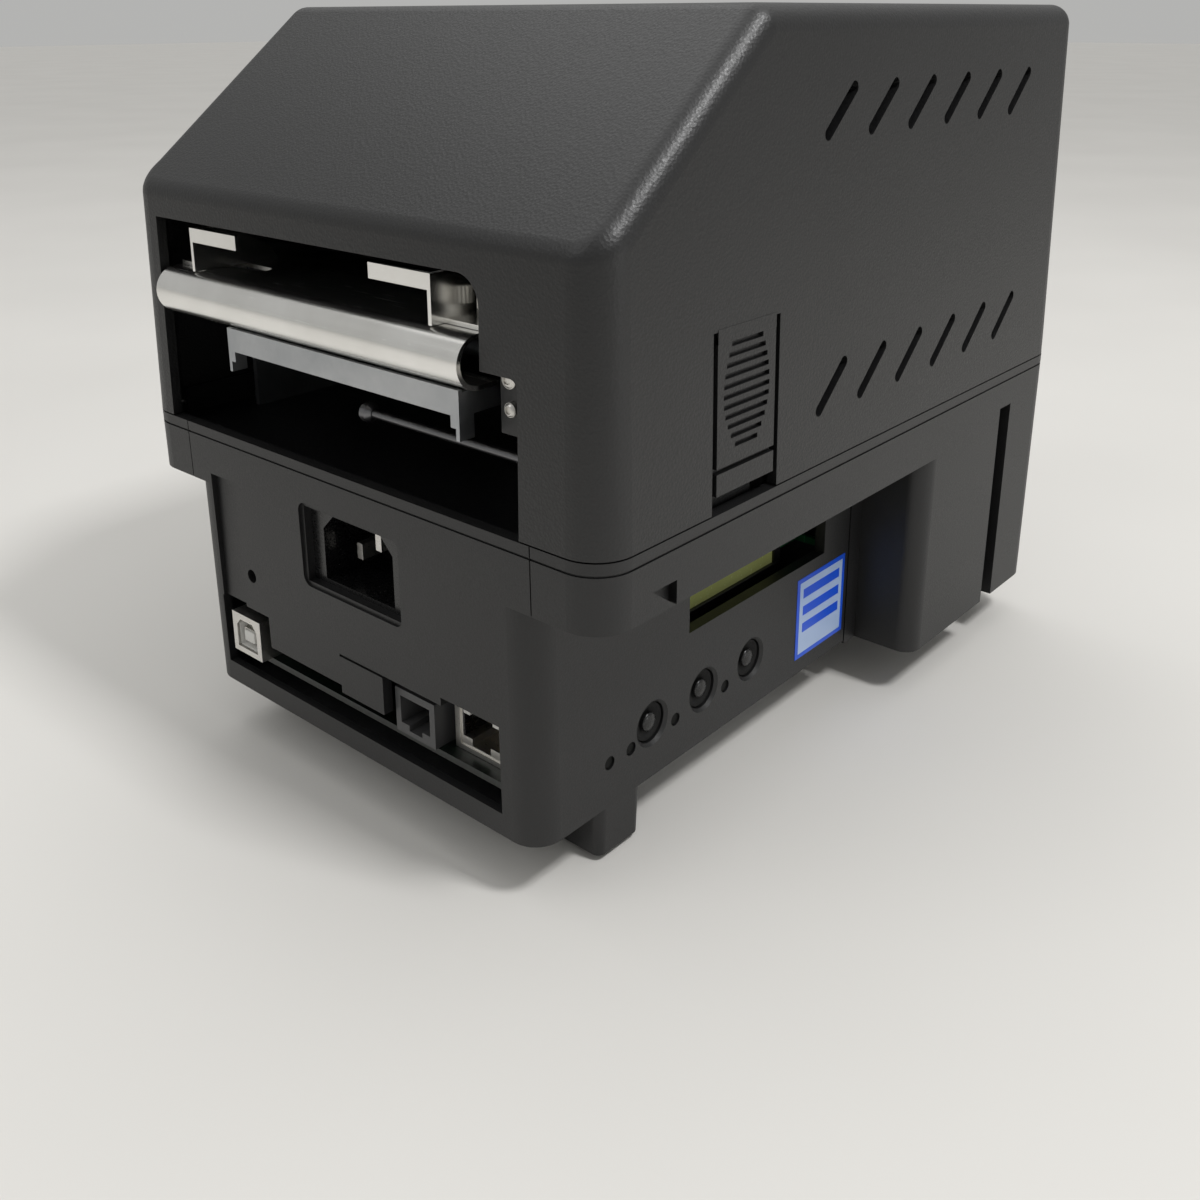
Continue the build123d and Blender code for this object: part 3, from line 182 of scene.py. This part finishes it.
# soft-touch paint: nearly no shine. Its IOR is under the real 1.5, so that the caps read as dark
capBlack = softCoat("SoftTouchCapBlack", {
    "colour": "#040404", "light": "#060606", "grain": 0.4, "bump": 0.1, "rough": (0.6, 0.7), "ior": 1.35})
# filled polyester: dull mid grey
greyPlastic = softCoat("GreyPolyesterSocket", {
    "colour": "#3A3A3B", "light": "#434344", "grain": 0.5, "bump": 0.1, "rough": (0.35, 0.45), "ior": 1.55})
# nylon insert: milky white with a low shine
whitePlastic = softCoat("WhiteNylonInsert", {
    "colour": "#C9C8C4", "light": "#D4D3CF", "grain": 0.6, "bump": 0.08, "rough": (0.35, 0.45), "ior": 1.53})
# rolled stainless sheet: bright, with soft-edged mirror images across its brushing
steel = brushedMetal("BrushedStainlessSheet", {
    "colour": "#EFEEEB", "dark": "#E4E3DF", "streak": 0.35, "stretch": (0.02, 1.0, 1.0),
    "rough": (0.16, 0.28)})
# bright zinc plate: cool grey with cloudy patches
zinc = brushedMetal("ZincPlatedSteel", {
    "colour": "#B4B6B8", "dark": "#A0A3A6", "streak": 0.5, "stretch": (0.3, 1.0, 0.3), "rough": (0.3, 0.46)})
# dull zinc plate: dark grey chassis sheet
dullZinc = brushedMetal("DullZincPlate", {
    "colour": "#77797B", "dark": "#686A6C", "streak": 0.5, "stretch": (0.3, 1.0, 0.3), "rough": (0.45, 0.6)})
# nickel plate: warm white metal
nickel = brushedMetal("NickelPlatedShell", {
    "colour": "#DAD8D4", "dark": "#CBC9C4", "streak": 0.4, "stretch": (0.4, 0.4, 1.0), "rough": (0.26, 0.4)})
# extruded aluminium: pale metal with lines along its length
aluminium = brushedMetal("ExtrudedAluminium", {
    "colour": "#C4C6C8", "dark": "#B2B4B6", "streak": 0.4, "stretch": (0.02, 1.0, 1.0), "rough": (0.3, 0.45)})
# turned brass: yellow metal with fine rings
brass = brushedMetal("TurnedBrass", {
    "colour": "#C9A65B", "dark": "#B5924A", "streak": 0.3, "stretch": (1.0, 0.3, 0.3), "rough": (0.2, 0.35)})
# thin gold flash on contacts: deep yellow glint
gold = brushedMetal("GoldFlashedContact", {
    "colour": "#D9B45A", "dark": "#C9A24A", "streak": 0.3, "stretch": (1.0, 0.3, 0.3), "rough": (0.22, 0.34)})
# powder coat: black with a slight orange peel
blackSteel = softCoat("PowderCoatedSteel", {
    "colour": "#0B0B0C", "light": "#101011", "grain": 0.7, "bump": 0.3, "rough": (0.28, 0.4)})
# blackened wire: dim metal with one soft highlight along it
darkWire = softCoat("BlackenedSpringWire", {
    "colour": "#6E6E70", "light": "#7A7A7C", "grain": 0.4, "bump": 0.1, "rough": (0.3, 0.4), "metal": 1.0})
# ground nitrile rubber: matt black
rubber = softCoat("NitrileRubber", {
    "colour": "#131313", "light": "#191918", "grain": 0.35, "bump": 0.25, "rough": (0.7, 0.85), "ior": 1.52})
# acetal gears: waxy white
acetal = softCoat("WhiteAcetal", {
    "colour": "#DEDBD0", "light": "#E6E3DA", "grain": 1.2, "bump": 0.08, "rough": (0.3, 0.42), "ior": 1.48})
# glass-filled nylon: dull blue grey
nylon = softCoat("GreyNylon", {
    "colour": "#3B3D40", "light": "#44474A", "grain": 0.6, "bump": 0.15, "rough": (0.4, 0.52), "ior": 1.53})
# unlit smoked polycarbonate: its IOR is under the real 1.58, so that it reads as a dark hole
lens = softCoat("TintedPolycarbonateLens", {
    "colour": "#030403", "light": "#050605", "grain": 2.0, "bump": 0.02, "rough": (0.5, 0.6), "ior": 1.25})
# character display: dull yellow green, with a faint painted glow that lifts it out of its dark window
display = softCoat("YellowGreenDisplay", {
    "colour": "#8F9456", "light": "#9CA264", "grain": 1.0, "bump": 0.03, "rough": (0.2, 0.28), "ior": 1.5,
    "glow": ("#8C9160", 0.12)})
# green solder resist with paler tracks, and a nearly black copy for the boards behind the ports, so that the
# board edge seen there reads grey-dark, not green
board = circuitBoard("GreenCircuitBoard", {
    "resist": "#1D7342", "dark": "#175E36", "track": "#2B8A50", "rough": 0.32, "bump": 0.12, "deep": 0.03,
    "ior": 1.5})
darkBoard = circuitBoard("DarkCircuitBoard", {
    "resist": "#0D1410", "dark": "#0A100D", "track": "#16241A", "rough": 0.32, "bump": 0.12, "deep": 0.03,
    "ior": 1.5})
# printed vinyl: clear blue and pale blue inks with a low shine
labelBlue = softCoat("PrintedVinylBlue", {
    "colour": "#0A45C0", "light": "#0F4FCB", "grain": 0.8, "bump": 0.04, "rough": (0.3, 0.36), "ior": 1.5})
labelPale = softCoat("PrintedVinylPale", {
    "colour": "#8FA6CC", "light": "#A4B7D6", "grain": 0.8, "bump": 0.04, "rough": (0.32, 0.38), "ior": 1.5})

# the finish of each CAD node
finishes = {
    "top_cover": coverAbs, "latch_left": coverAbs, "latch_right": coverAbs, "exit_bezel": glossAbs,
    "base_frame": fineAbs, "electronics_housing": fineAbs, "legs": fineAbs, "port_blank": fineAbs,
    "button_1": capBlack, "button_2": capBlack, "button_3": capBlack,
    "rubber_pads": rubber, "platen_roller": rubber,
    "hinge_pins": zinc, "bottom_plate": zinc, "screws": nickel, "deck_plate": blackSteel,
    "side_plate_left": dullZinc, "side_plate_right": dullZinc, "tie_bars": dullZinc, "ticket_guide": steel,
    "guide_support": zinc, "upper_guide": blackSteel, "front_guide": zinc, "stock_rod": darkWire,
    "rod_bracket": blackSteel, "platen_bushes": brass, "platen_shaft": zinc, "platen_gear": acetal,
    "idler_gear": acetal, "motor_pinion": brass, "motor_shaft": zinc, "stepper_motor": blackSteel,
    "print_head": acetal, "head_heatsink": aluminium, "head_carrier": zinc, "head_shaft": zinc,
    "lift_shaft": zinc, "release_lever": zinc, "lever_grip": nylon, "cutter_frame": zinc,
    "fixed_blade": steel, "moving_blade": steel, "cutter_pinion": brass, "cutter_motor": nickel,
    "edge_guide_left": steel, "edge_guide_right": steel, "guide_screw_left": nickel,
    "guide_screw_right": nickel, "main_board": darkBoard, "power_board": darkBoard, "display_board": board,
    "button_board": darkBoard, "usb_socket": nickel, "phone_socket": greyPlastic, "network_socket": nickel,
    "mains_inlet": glossAbs, "inlet_pins": nickel, "display_glass": display, "indicator_lenses": lens,
}
for name, node in nodes.items():
    node.data.materials.clear()
    node.data.materials.append(finishes[name])
print("finishes on", len(nodes), "CAD nodes")


# Working with pieces

smoothAngle = 35            # degrees, below which an edge is shaded soft


def deselect():
    bpy.ops.object.select_all(action="DESELECT")


def pick(piece):
    deselect()
    piece.select_set(True)
    bpy.context.view_layer.objects.active = piece


def startBlock(name, low, high):
    # a block between two corners, ready to be shaped
    deselect()
    bpy.ops.mesh.primitive_cube_add(size=1.0, location=(Vector(low) + Vector(high)) / 2)
    piece = bpy.context.object
    piece.name = name
    piece.scale = [abs(b - a) for a, b in zip(low, high)]
    bpy.ops.object.transform_apply(location=True, rotation=True, scale=True)
    return piece


def startRod(name, centre, axis, radius, length, sides):
    # a rod along an axis, ready to be shaped
    deselect()
    turn = Vector((0, 0, 1)).rotation_difference(Vector(axis)).to_euler()
    bpy.ops.mesh.primitive_cylinder_add(vertices=sides, radius=radius, depth=length, location=centre,
                                        rotation=turn)
    piece = bpy.context.object
    piece.name = name
    bpy.ops.object.transform_apply(location=True, rotation=True, scale=True)
    return piece


def edit(piece):
    pick(piece)
    bpy.ops.object.mode_set(mode="EDIT")
    bpy.ops.mesh.select_mode(type="FACE")


def leaveEdit():
    bpy.ops.object.mode_set(mode="OBJECT")


def selectFaces(piece, facing):
    # in edit mode, picks the faces that look one way
    bpy.ops.mesh.select_all(action="DESELECT")
    leaveEdit()
    for face in piece.data.polygons:
        face.select = face.normal.dot(Vector(facing)) > 0.9
    bpy.ops.object.mode_set(mode="EDIT")


def turnOutwards():
    bpy.ops.mesh.select_all(action="SELECT")
    bpy.ops.mesh.normals_make_consistent(inside=False)


def bevelEdges(piece, width, segments=1):
    edit(piece)
    bpy.ops.mesh.select_all(action="SELECT")
    bpy.ops.mesh.bevel(offset=width, segments=segments, affect="EDGES")
    leaveEdit()


def join(pieces, name):
    pick(pieces[0])
    for piece in pieces:
        piece.select_set(True)
    bpy.ops.object.join()
    pieces[0].name = name
    return pieces[0]


def finishPiece(piece, body, material):
    # smooth where the edges are soft, then its finish and the body that carries it
    pick(piece)
    bpy.ops.object.shade_smooth_by_angle(angle=math.radians(smoothAngle))
    piece.data.materials.clear()
    piece.data.materials.append(material)
    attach(piece, body)


# Casing trim. Sizes are in millimetres.

# the cover is halfWidth wide to each side at the height seam, and leans in by draft degrees above it
webLook = {"above": 0.5, "below": 2.6, "proud": 0.1, "inside": 0.8, "hingeGap": 0.3, "edge": 0.05,
           "halfWidth": 78.0, "seam": 84.2, "draft": 0.87}


def makeLatchWebs(look):
    # the thin skin that joins each latch tongue to the cover, where it flexes
    lean = math.tan(math.radians(look["draft"]))
    for side, node in ((1, "latch_left"), (-1, "latch_right")):
        low, high = corners(node)
        hingeTop = high.z + mm(look["hingeGap"])
        outer = mm(look["halfWidth"]) - (hingeTop - mm(look["seam"])) * lean
        web = startBlock(node + "_web",
                         (side * (outer - mm(look["inside"])), low.y, hingeTop - mm(look["below"])),
                         (side * (outer + mm(look["proud"])), high.y, hingeTop + mm(look["above"])))
        for corner in web.data.vertices:
            corner.co.x += side * (hingeTop - corner.co.z) * lean
        bevelEdges(web, mm(look["edge"]))
        finishPiece(web, "cover", coverAbs)


# from and to run forward from the rear, low and high up from the floor of the casing; the bars'
# places and height are shares of the pale field, and their inset is in borders
labelLook = {"from": 98.4, "to": 122.0, "floor": 13.0, "low": 5.4, "high": 28.4, "thick": 0.12,
             "border": 1.3, "corner": 0.04, "fieldProud": 0.05, "fieldSunk": 0.02, "softEdge": 0.02,
             "bars": 3, "barProud": 0.09, "barSunk": 0.03, "barInset": 2.2,
             "firstBar": 0.10, "barPitch": 0.24, "barTall": 0.13}


def makeLabel(look):
    # plain blue label on the control side: a border, a pale field and bare bars, with no words
    low, high = corners("electronics_housing")
    face, thick, edge = low.x, look["thick"], mm(look["border"])
    y0, y1 = high.y - mm(look["to"]), high.y - mm(look["from"])
    z0, z1 = mm(look["floor"] + look["low"]), mm(look["floor"] + look["high"])
    plate = startBlock("side_label", (face - mm(thick), y0, z0), (face, y1, z1))
    bevelEdges(plate, mm(look["corner"]))
    finishPiece(plate, "root", labelBlue)
    field = startBlock("side_label_field", (face - mm(thick + look["fieldProud"]), y0 + edge, z0 + edge),
                       (face - mm(thick - look["fieldSunk"]), y1 - edge, z1 - edge))
    bevelEdges(field, mm(look["softEdge"]))
    finishPiece(field, "root", labelPale)
    tall = z1 - z0 - 2 * edge
    inset = look["barInset"] * edge
    for k in range(look["bars"]):
        top = z1 - edge - tall * (look["firstBar"] + look["barPitch"] * k)
        bar = startBlock(f"side_label_bar_{k + 1}",
                         (face - mm(thick + look["barProud"]), y0 + inset, top - tall * look["barTall"]),
                         (face - mm(thick + look["barSunk"]), y1 - inset, top))
        bevelEdges(bar, mm(look["softEdge"]))
        finishPiece(bar, "root", labelBlue)


frameLook = {"side": 2.2, "drop": 0.9, "foot": 5.2, "above": 0.6, "head": 0.8, "lap": 0.6, "thick": 1.2,
             "back": 0.05, "edge": 0.15, "panelProud": 0.4, "panelSunk": 0.5}


def makeDisplayFrame(look):
    # the display panel with its painted glow, and the black steel frame clipped round it
    low, high = corners("display_glass")
    outer = low.x
    low.z -= mm(look["drop"])
    panel = startBlock("display_panel", (outer - mm(look["panelProud"]), low.y, low.z),
                       (outer + mm(look["panelSunk"]), high.y, high.z))
    bevelEdges(panel, mm(look["edge"]))
    finishPiece(panel, "root", display)
    across = (low.y - mm(look["side"]), high.y + mm(look["side"]))
    top = high.z - mm(look["above"])
    strips = [(across, (low.z - mm(look["foot"]), low.z)),
              (across, (top, high.z + mm(look["head"]))),
              ((across[0], low.y + mm(look["lap"])), (low.z, top)),
              ((high.y - mm(look["lap"]), across[1]), (low.z, top))]
    pieces = []
    for k, (along, up) in enumerate(strips):
        strip = startBlock(f"display_strip_{k}", (outer - mm(look["thick"]), along[0], up[0]),
                           (outer - mm(look["back"]), along[1], up[1]))
        bevelEdges(strip, mm(look["edge"]))
        pieces.append(strip)
    finishPiece(join(pieces, "display_frame"), "root", blackSteel)


domeLook = {"radius": 2.3, "rise": 0.8, "segments": 32, "rings": 16, "sunk": 0.05}


def makeButtonDomes(look):
    # shallow glossy dome on each button cap, which catches a crescent of light
    for number in (1, 2, 3):
        low, high = corners(f"button_{number}")
        middle = (low + high) / 2
        deselect()
        bpy.ops.mesh.primitive_uv_sphere_add(segments=look["segments"], ring_count=look["rings"],
                                             radius=mm(look["radius"]), location=(low.x, middle.y, middle.z),
                                             rotation=(0, math.pi / 2, 0))
        dome = bpy.context.object
        dome.name = f"button_{number}_dome"
        bpy.ops.object.transform_apply(location=False, rotation=True, scale=True)
        dome.scale = (look["rise"] / look["radius"], 1, 1)
        bpy.ops.object.transform_apply(location=True, rotation=True, scale=True)
        edit(dome)
        bpy.ops.mesh.select_all(action="SELECT")
        bpy.ops.mesh.bisect(plane_co=(low.x + mm(look["sunk"]), 0, 0), plane_no=(1, 0, 0), use_fill=True,
                            clear_outer=True)
        leaveEdit()
        finishPiece(dome, f"button_{number}", glossAbs)


# Sockets

usbLook = {"floor": 1.5, "half": 4.1, "back": 6.0, "front": 0.5, "low": 0.1, "high": 7.4, "rim": 0.75,
           "sunk": 4.4, "edge": 0.12}
tongueLook = {"half": 2.2, "back": 5.8, "front": 0.6, "low": 1.9, "high": 5.0, "edge": 0.3}


def makeUsbInsert(shell, tip):
    # white insert behind the plated shell, with the open gap round its tongue
    low, high = corners("usb_socket")
    middle = (low.x + high.x) / 2
    base = low.z + mm(shell["floor"])
    for name, look in (("usb_insert", shell), ("usb_tongue", tip)):
        piece = startBlock(name,
                           (middle - mm(look["half"]), high.y - mm(look["back"]), base + mm(look["low"])),
                           (middle + mm(look["half"]), high.y - mm(look["front"]), base + mm(look["high"])))
        if look is shell:
            edit(piece)
            selectFaces(piece, (0, 1, 0))
            bpy.ops.mesh.inset(thickness=mm(look["rim"]), depth=0.0)
            bpy.ops.transform.translate(value=(0, -mm(look["sunk"]), 0))
            leaveEdit()
        bevelEdges(piece, mm(look["edge"]), 1 if look is shell else 2)
        finishPiece(piece, "root", whitePlastic)


contactLook = {"half": 0.2, "thick": 0.35, "bend": (0, -2.0, -2.4), "edge": 0.06}
contactSets = [
    # name, socket, count, pitch, height, and how far behind the face the straight part runs
    ("phone_contacts", "phone_socket", 6, 1.27, 9.0, 3.0, 8.0),
    ("network_contacts", "network_socket", 8, 1.02, 10.2, 2.0, 8.0),
]


def makeContacts(look):
    # springy wires under the roof of a modular socket, bent down at their inner ends
    for name, node, count, pitch, rise, near, deep in contactSets:
        low, high = corners(node)
        middle = (low.x + high.x) / 2
        wires = []
        for k in range(count):
            x = middle + mm(pitch) * (k - (count - 1) / 2)
            wire = startBlock(f"{name}_{k}", (x - mm(look["half"]), high.y - mm(deep), low.z + mm(rise)),
                              (x + mm(look["half"]), high.y - mm(near), low.z + mm(rise + look["thick"])))
            edit(wire)
            selectFaces(wire, (0, -1, 0))
            bpy.ops.mesh.extrude_region_move(TRANSFORM_OT_translate={"value": mm(*look["bend"])})
            leaveEdit()
            wires.append(wire)
        piece = join(wires, name)
        bevelEdges(piece, mm(look["edge"]))
        finishPiece(piece, "root", gold)


liningLook = {"front": 0.5, "back": 10.0, "shell": 1.65, "floor": 1.25, "roof": 11.55, "wall": 0.8,
              "ceiling": 0.9, "keyWide": 3.2, "keyTall": 1.9, "edge": 0.12}
lightLook = {"out": 4.6, "half": 1.1, "long": 3.0, "proud": 0.1, "low": 2.6, "high": 1.0, "edge": 0.2}


def makeNetworkLining(look, light):
    # black core seen inside the plated shell: side walls, roof and the ledges beside the key
    low, high = corners("network_socket")
    front, back = high.y - mm(look["front"]), high.y - mm(look["back"])
    x0, x1 = low.x + mm(look["shell"]), high.x - mm(look["shell"])
    z0, z1 = low.z + mm(look["floor"]), low.z + mm(look["roof"])
    inner0, inner1 = x0 + mm(look["wall"]), x1 - mm(look["wall"])
    ledge = z0 + mm(look["keyTall"])
    walls = [((x0, z0), (inner0, z1)), ((inner1, z0), (x1, z1)),
             ((inner0, z1 - mm(look["ceiling"])), (inner1, z1)),
             ((inner0, z0), (x0 + mm(look["keyWide"]), ledge)),
             ((x1 - mm(look["keyWide"]), z0), (inner1, ledge))]
    pieces = []
    for k, (a, b) in enumerate(walls):
        wall = startBlock(f"network_wall_{k}", (a[0], back, a[1]), (b[0], front, b[1]))
        bevelEdges(wall, mm(look["edge"]))
        pieces.append(wall)
    finishPiece(join(pieces, "network_lining"), "root", glossAbs)
    lights = []
    for side in (-1, 1):
        x = (x0 + x1) / 2 + side * mm(light["out"])
        pipe = startBlock(f"network_light_{side}",
                          (x - mm(light["half"]), front - mm(light["long"]), z1 - mm(light["low"])),
                          (x + mm(light["half"]), front + mm(light["proud"]), z1 - mm(light["high"])))
        bevelEdges(pipe, mm(light["edge"]))
        lights.append(pipe)
    finishPiece(join(lights, "network_light_pipes"), "root", whitePlastic)


# Fittings

# taper, rim and slotLong are shares of the head's radius
screwLook = {"dome": 0.55, "sides": 20, "taper": 0.72, "rim": 0.12, "lip": 0.08, "slotLong": 1.1,
             "slotWide": 0.36, "slotDeep": 0.5}
bracketScrews = {"inset": 3.6, "sunk": 0.1,
                 "heads": [(4.2, 1.9, 1.4), (10.4, 1.5, 1.2)]}      # drop, radius, height of the CAD head
bottomScrews = {"x": 52.6, "rows": (10, 114), "level": 12.5, "radius": 2.7}     # rows from the rear


def makeScrewHead(name, place, facing, radius, look):
    # domed head with a cross recess, on top of the CAD screw
    way = Vector(facing)
    head = startRod(name, Vector(place) + way * mm(look["dome"] / 2), facing, radius, mm(look["dome"]),
                    look["sides"])
    edit(head)
    selectFaces(head, facing)
    bpy.ops.transform.resize(value=[look["taper"]] * 3)
    bpy.ops.mesh.inset(thickness=radius * look["rim"], depth=mm(look["lip"]))
    leaveEdit()
    centre = Vector(place) + way * mm(look["dome"])
    first = way.orthogonal().normalized()
    for across in (first, way.cross(first)):
        size = across * radius * look["slotLong"] + way.cross(across) * mm(look["slotWide"])
        reach = Vector([abs(v) for v in size + way * mm(look["slotDeep"])]) / 2
        cutter = startBlock("recess", centre - reach, centre + reach)
        notch = head.modifiers.new("recess", "BOOLEAN")
        notch.object = cutter
        notch.operation = "DIFFERENCE"
        pick(head)
        bpy.ops.object.modifier_apply(modifier=notch.name)
        bpy.data.objects.remove(cutter, do_unlink=True)
    finishPiece(head, "root", nickel)


def makeScrewHeads(look):
    high = corners("rod_bracket")[1]
    for k, (drop, radius, thick) in enumerate(bracketScrews["heads"]):
        place = high + mm(-bracketScrews["inset"], thick - bracketScrews["sunk"], -drop)
        makeScrewHead(f"bracket_screw_head_{k + 1}", place, (0, 1, 0), mm(radius), look)
    rear = corners("electronics_housing")[1].y
    spots = [(side * bottomScrews["x"], v) for v in bottomScrews["rows"] for side in (-1, 1)]
    for k, (x, v) in enumerate(spots):
        makeScrewHead(f"bottom_screw_head_{k + 1}", (mm(x), rear - mm(v), mm(bottomScrews["level"])),
                      (0, 0, -1), mm(bottomScrews["radius"]), look)


knurlLook = {"ribs": 28, "radius": 3.95, "height": 3.7, "proud": 0.05, "groove": 0.3,
             "rim": 0.5, "rimSunk": 0.25, "crown": 0.9, "crownRise": 0.35}


def makeKnurls(look):
    # fluted rim round each thumb screw
    for side in ("left", "right"):
        low, high = corners("guide_screw_" + side)
        centre = (low + high) / 2
        middle = high.z - mm(look["height"] / 2 - look["proud"])
        rim = startRod(f"guide_screw_{side}_knurl", (centre.x, centre.y, middle), (0, 0, 1),
                       mm(look["radius"]), mm(look["height"]), 2 * look["ribs"])
        for corner in rim.data.vertices:
            away = Vector((corner.co.x - centre.x, corner.co.y - centre.y))
            step = round(math.atan2(away.y, away.x) / (math.pi / look["ribs"]))
            if step % 2:
                corner.co.x -= away.normalized().x * mm(look["groove"])
                corner.co.y -= away.normalized().y * mm(look["groove"])
        edit(rim)
        selectFaces(rim, (0, 0, 1))
        bpy.ops.mesh.inset(thickness=mm(look["rim"]), depth=mm(look["rimSunk"]))
        bpy.ops.mesh.inset(thickness=mm(look["crown"]), depth=-mm(look["crownRise"]))
        leaveEdit()
        finishPiece(rim, "edge_guide_" + side, nickel)


tearLook = {"teeth": 58, "tooth": 0.8, "tall": 2.4, "thick": 0.5, "ends": 4.2, "below": 3.0, "proud": 0.05}


def makeTearEdge(look):
    # serrated steel strip along the lower lip of the exit slot, for tearing a ticket by hand
    low, high = corners("exit_bezel")
    x0, x1 = low.x + mm(look["ends"]), high.x - mm(look["ends"])
    top = (low.z + high.z) / 2 - mm(look["below"])
    deselect()
    bpy.ops.mesh.primitive_grid_add(x_subdivisions=2 * look["teeth"], y_subdivisions=1, size=1.0)
    strip = bpy.context.object
    strip.name = "tear_edge"
    for corner in strip.data.vertices:
        along, up = corner.co.x + 0.5, corner.co.y + 0.5
        isTip = up > 0.5 and round(along * 2 * look["teeth"]) % 2
        rise = mm(look["tooth"]) if isTip else 0.0
        corner.co = Vector((x0 + along * (x1 - x0), low.y - mm(look["proud"]),
                            top - mm(look["tall"]) * (1 - up) + rise))
    solid = strip.modifiers.new("thickness", "SOLIDIFY")
    solid.thickness = mm(look["thick"])
    solid.offset = 0.0
    bpy.ops.object.modifier_apply(modifier=solid.name)
    edit(strip)
    turnOutwards()
    leaveEdit()
    finishPiece(strip, "cover", steel)


# wire and coil are radii, pitch is per turn
springLook = {"wire": 0.45, "coil": 4.0, "turns": 6, "pitch": 1.15, "sides": 8, "stepsPerTurn": 24,
              "fromLeft": 16.0, "fromRight": 9.0}


def makeHeadSprings(look):
    # torsion springs wound round the print head's shaft, one near each end
    low, high = corners("head_shaft")
    y, z = (low.y + high.y) / 2, (low.z + high.z) / 2
    for name, x in (("head_spring_left", high.x - mm(look["fromLeft"])),
                    ("head_spring_right", low.x + mm(look["fromRight"]))):
        deselect()
        bpy.ops.mesh.primitive_circle_add(vertices=look["sides"], radius=mm(look["wire"]),
                                          location=(x, y, z + mm(look["coil"])),
                                          rotation=(0, math.pi / 2, math.pi / 2))
        coil = bpy.context.object
        coil.name = name
        bpy.ops.object.transform_apply(location=True, rotation=True, scale=True)
        edit(coil)
        bpy.ops.mesh.select_all(action="SELECT")
        bpy.ops.mesh.spin(steps=look["stepsPerTurn"] * look["turns"], angle=2 * math.pi * look["turns"],
                          center=(x, y, z), axis=(1, 0, 0))
        leaveEdit()
        # each ring of the spun tube moves along the shaft, which makes the rings a helix
        for number, corner in enumerate(coil.data.vertices):
            corner.co.x += (number // look["sides"]) / look["stepsPerTurn"] * mm(look["pitch"])
        edit(coil)
        bpy.ops.mesh.select_all(action="DESELECT")
        bpy.ops.mesh.select_mode(type="EDGE")
        bpy.ops.mesh.select_non_manifold(extend=False)
        bpy.ops.mesh.edge_face_add()
        turnOutwards()
        leaveEdit()
        finishPiece(coil, "head", zinc)


makeLatchWebs(webLook)
makeLabel(labelLook)
makeDisplayFrame(frameLook)
makeButtonDomes(domeLook)
print("casing trim made")
makeUsbInsert(usbLook, tongueLook)
makeContacts(contactLook)
makeNetworkLining(liningLook, lightLook)
print("sockets lined")
makeScrewHeads(screwLook)
makeKnurls(knurlLook)
makeTearEdge(tearLook)
makeHeadSprings(springLook)
print("fittings made")


# Floor, light and camera. Sizes and places are in metres.

stageLook = {"floor": 16.0, "colour": "#D6D4D0", "shade": "#D2D0CC", "mottle": 6.0}


def makeStage(look):
    bpy.ops.mesh.primitive_plane_add(size=look["floor"], location=(0, 0, 0))
    floor = bpy.context.object
    floor.name = "floor"
    paint, tree, shader, place = startMaterial("MattFloorPaint", look["colour"], 0.8)
    mottle = addNode(tree, "ShaderNodeTexNoise", {"Scale": look["mottle"], "Detail": 2.0}, {"Vector": place})
    tones = (look["shade"], look["colour"])
    tone = addNode(tree, "ShaderNodeValToRGB", {"stops": list(zip(noiseSpan, tones))},
                   {"Fac": mottle.outputs["Fac"]})
    tree.links.new(tone.outputs["Color"], shader.inputs["Base Color"])
    floor.data.materials.append(paint)


lampLook = [
    # name, place, aims at, size, watts
    ("rearLamp", (0.45, 1.0, 1.05), (0, 0, 0.08), 0.7, 2.0),
    ("edgeLamp", (-0.72, -0.05, 1.15), (0, 0, 0.12), 0.2, 9),
    ("roofLamp", (0.6, -0.25, 1.3), (0, 0, 0.15), 0.8, 1.5),
    ("sideLamp", (-1.1, -0.2, 0.12), (0, -0.05, 0.0), 0.4, 0.8),
]
skyLook = {"sun": 0.8, "softness": 80.0, "tilt": (0.25, 0.2, 0.0), "world": 0.5, "colour": "#F4F4F2"}


def makeLamps(sky):
    for name, spot, target, size, power in lampLook:
        bpy.ops.object.light_add(type="AREA", location=spot)
        lamp = bpy.context.object
        lamp.name = name
        lamp.data.shape = "SQUARE"
        lamp.data.size = size
        lamp.data.energy = power
        lamp.rotation_euler = (Vector(target) - Vector(spot)).to_track_quat("-Z", "Y").to_euler()
    bpy.ops.object.light_add(type="SUN", location=(0, 0, 2), rotation=sky["tilt"])
    sun = bpy.context.object
    sun.name = "ceilingGlow"
    sun.data.energy = sky["sun"]
    sun.data.angle = math.radians(sky["softness"])
    world = bpy.data.worlds.new("softStudio")
    bpy.context.scene.world = world
    world.use_nodes = True
    background = world.node_tree.nodes["Background"]
    background.inputs["Color"].default_value = linear(sky["colour"])
    background.inputs["Strength"].default_value = sky["world"]


# fitted to the straight edges of the photograph; angles in radians, lens in millimetres
cameraLook = {"place": (-0.2145, 0.2591, 0.1816), "yaw": 0.7177, "pitch": 0.2904, "roll": 0.0038,
              "lens": 37.446, "sensor": 36.0, "shift": (0.00098, -0.17696), "nearest": 0.01}


def makeCamera(look):
    bpy.ops.object.camera_add(location=look["place"])
    camera = bpy.context.object
    yaw, pitch, roll = look["yaw"], look["pitch"], look["roll"]
    ahead = Vector((math.sin(yaw) * math.cos(pitch), -math.cos(yaw) * math.cos(pitch), -math.sin(pitch)))
    right = Vector((-math.cos(yaw), -math.sin(yaw), 0.0))
    down = ahead.cross(right)
    rightTurned = right * math.cos(roll) + down * math.sin(roll)
    downTurned = down * math.cos(roll) - right * math.sin(roll)
    camera.rotation_euler = Matrix((rightTurned, -downTurned, -ahead)).transposed().to_euler()
    camera.data.lens = look["lens"]
    camera.data.sensor_width = look["sensor"]
    camera.data.shift_x, camera.data.shift_y = look["shift"]
    camera.data.clip_start = look["nearest"]
    bpy.context.scene.camera = camera


makeStage(stageLook)
makeLamps(skyLook)
makeCamera(cameraLook)
bpy.context.scene.view_settings.view_transform = "Standard"
print("floor, lamps and camera in place")
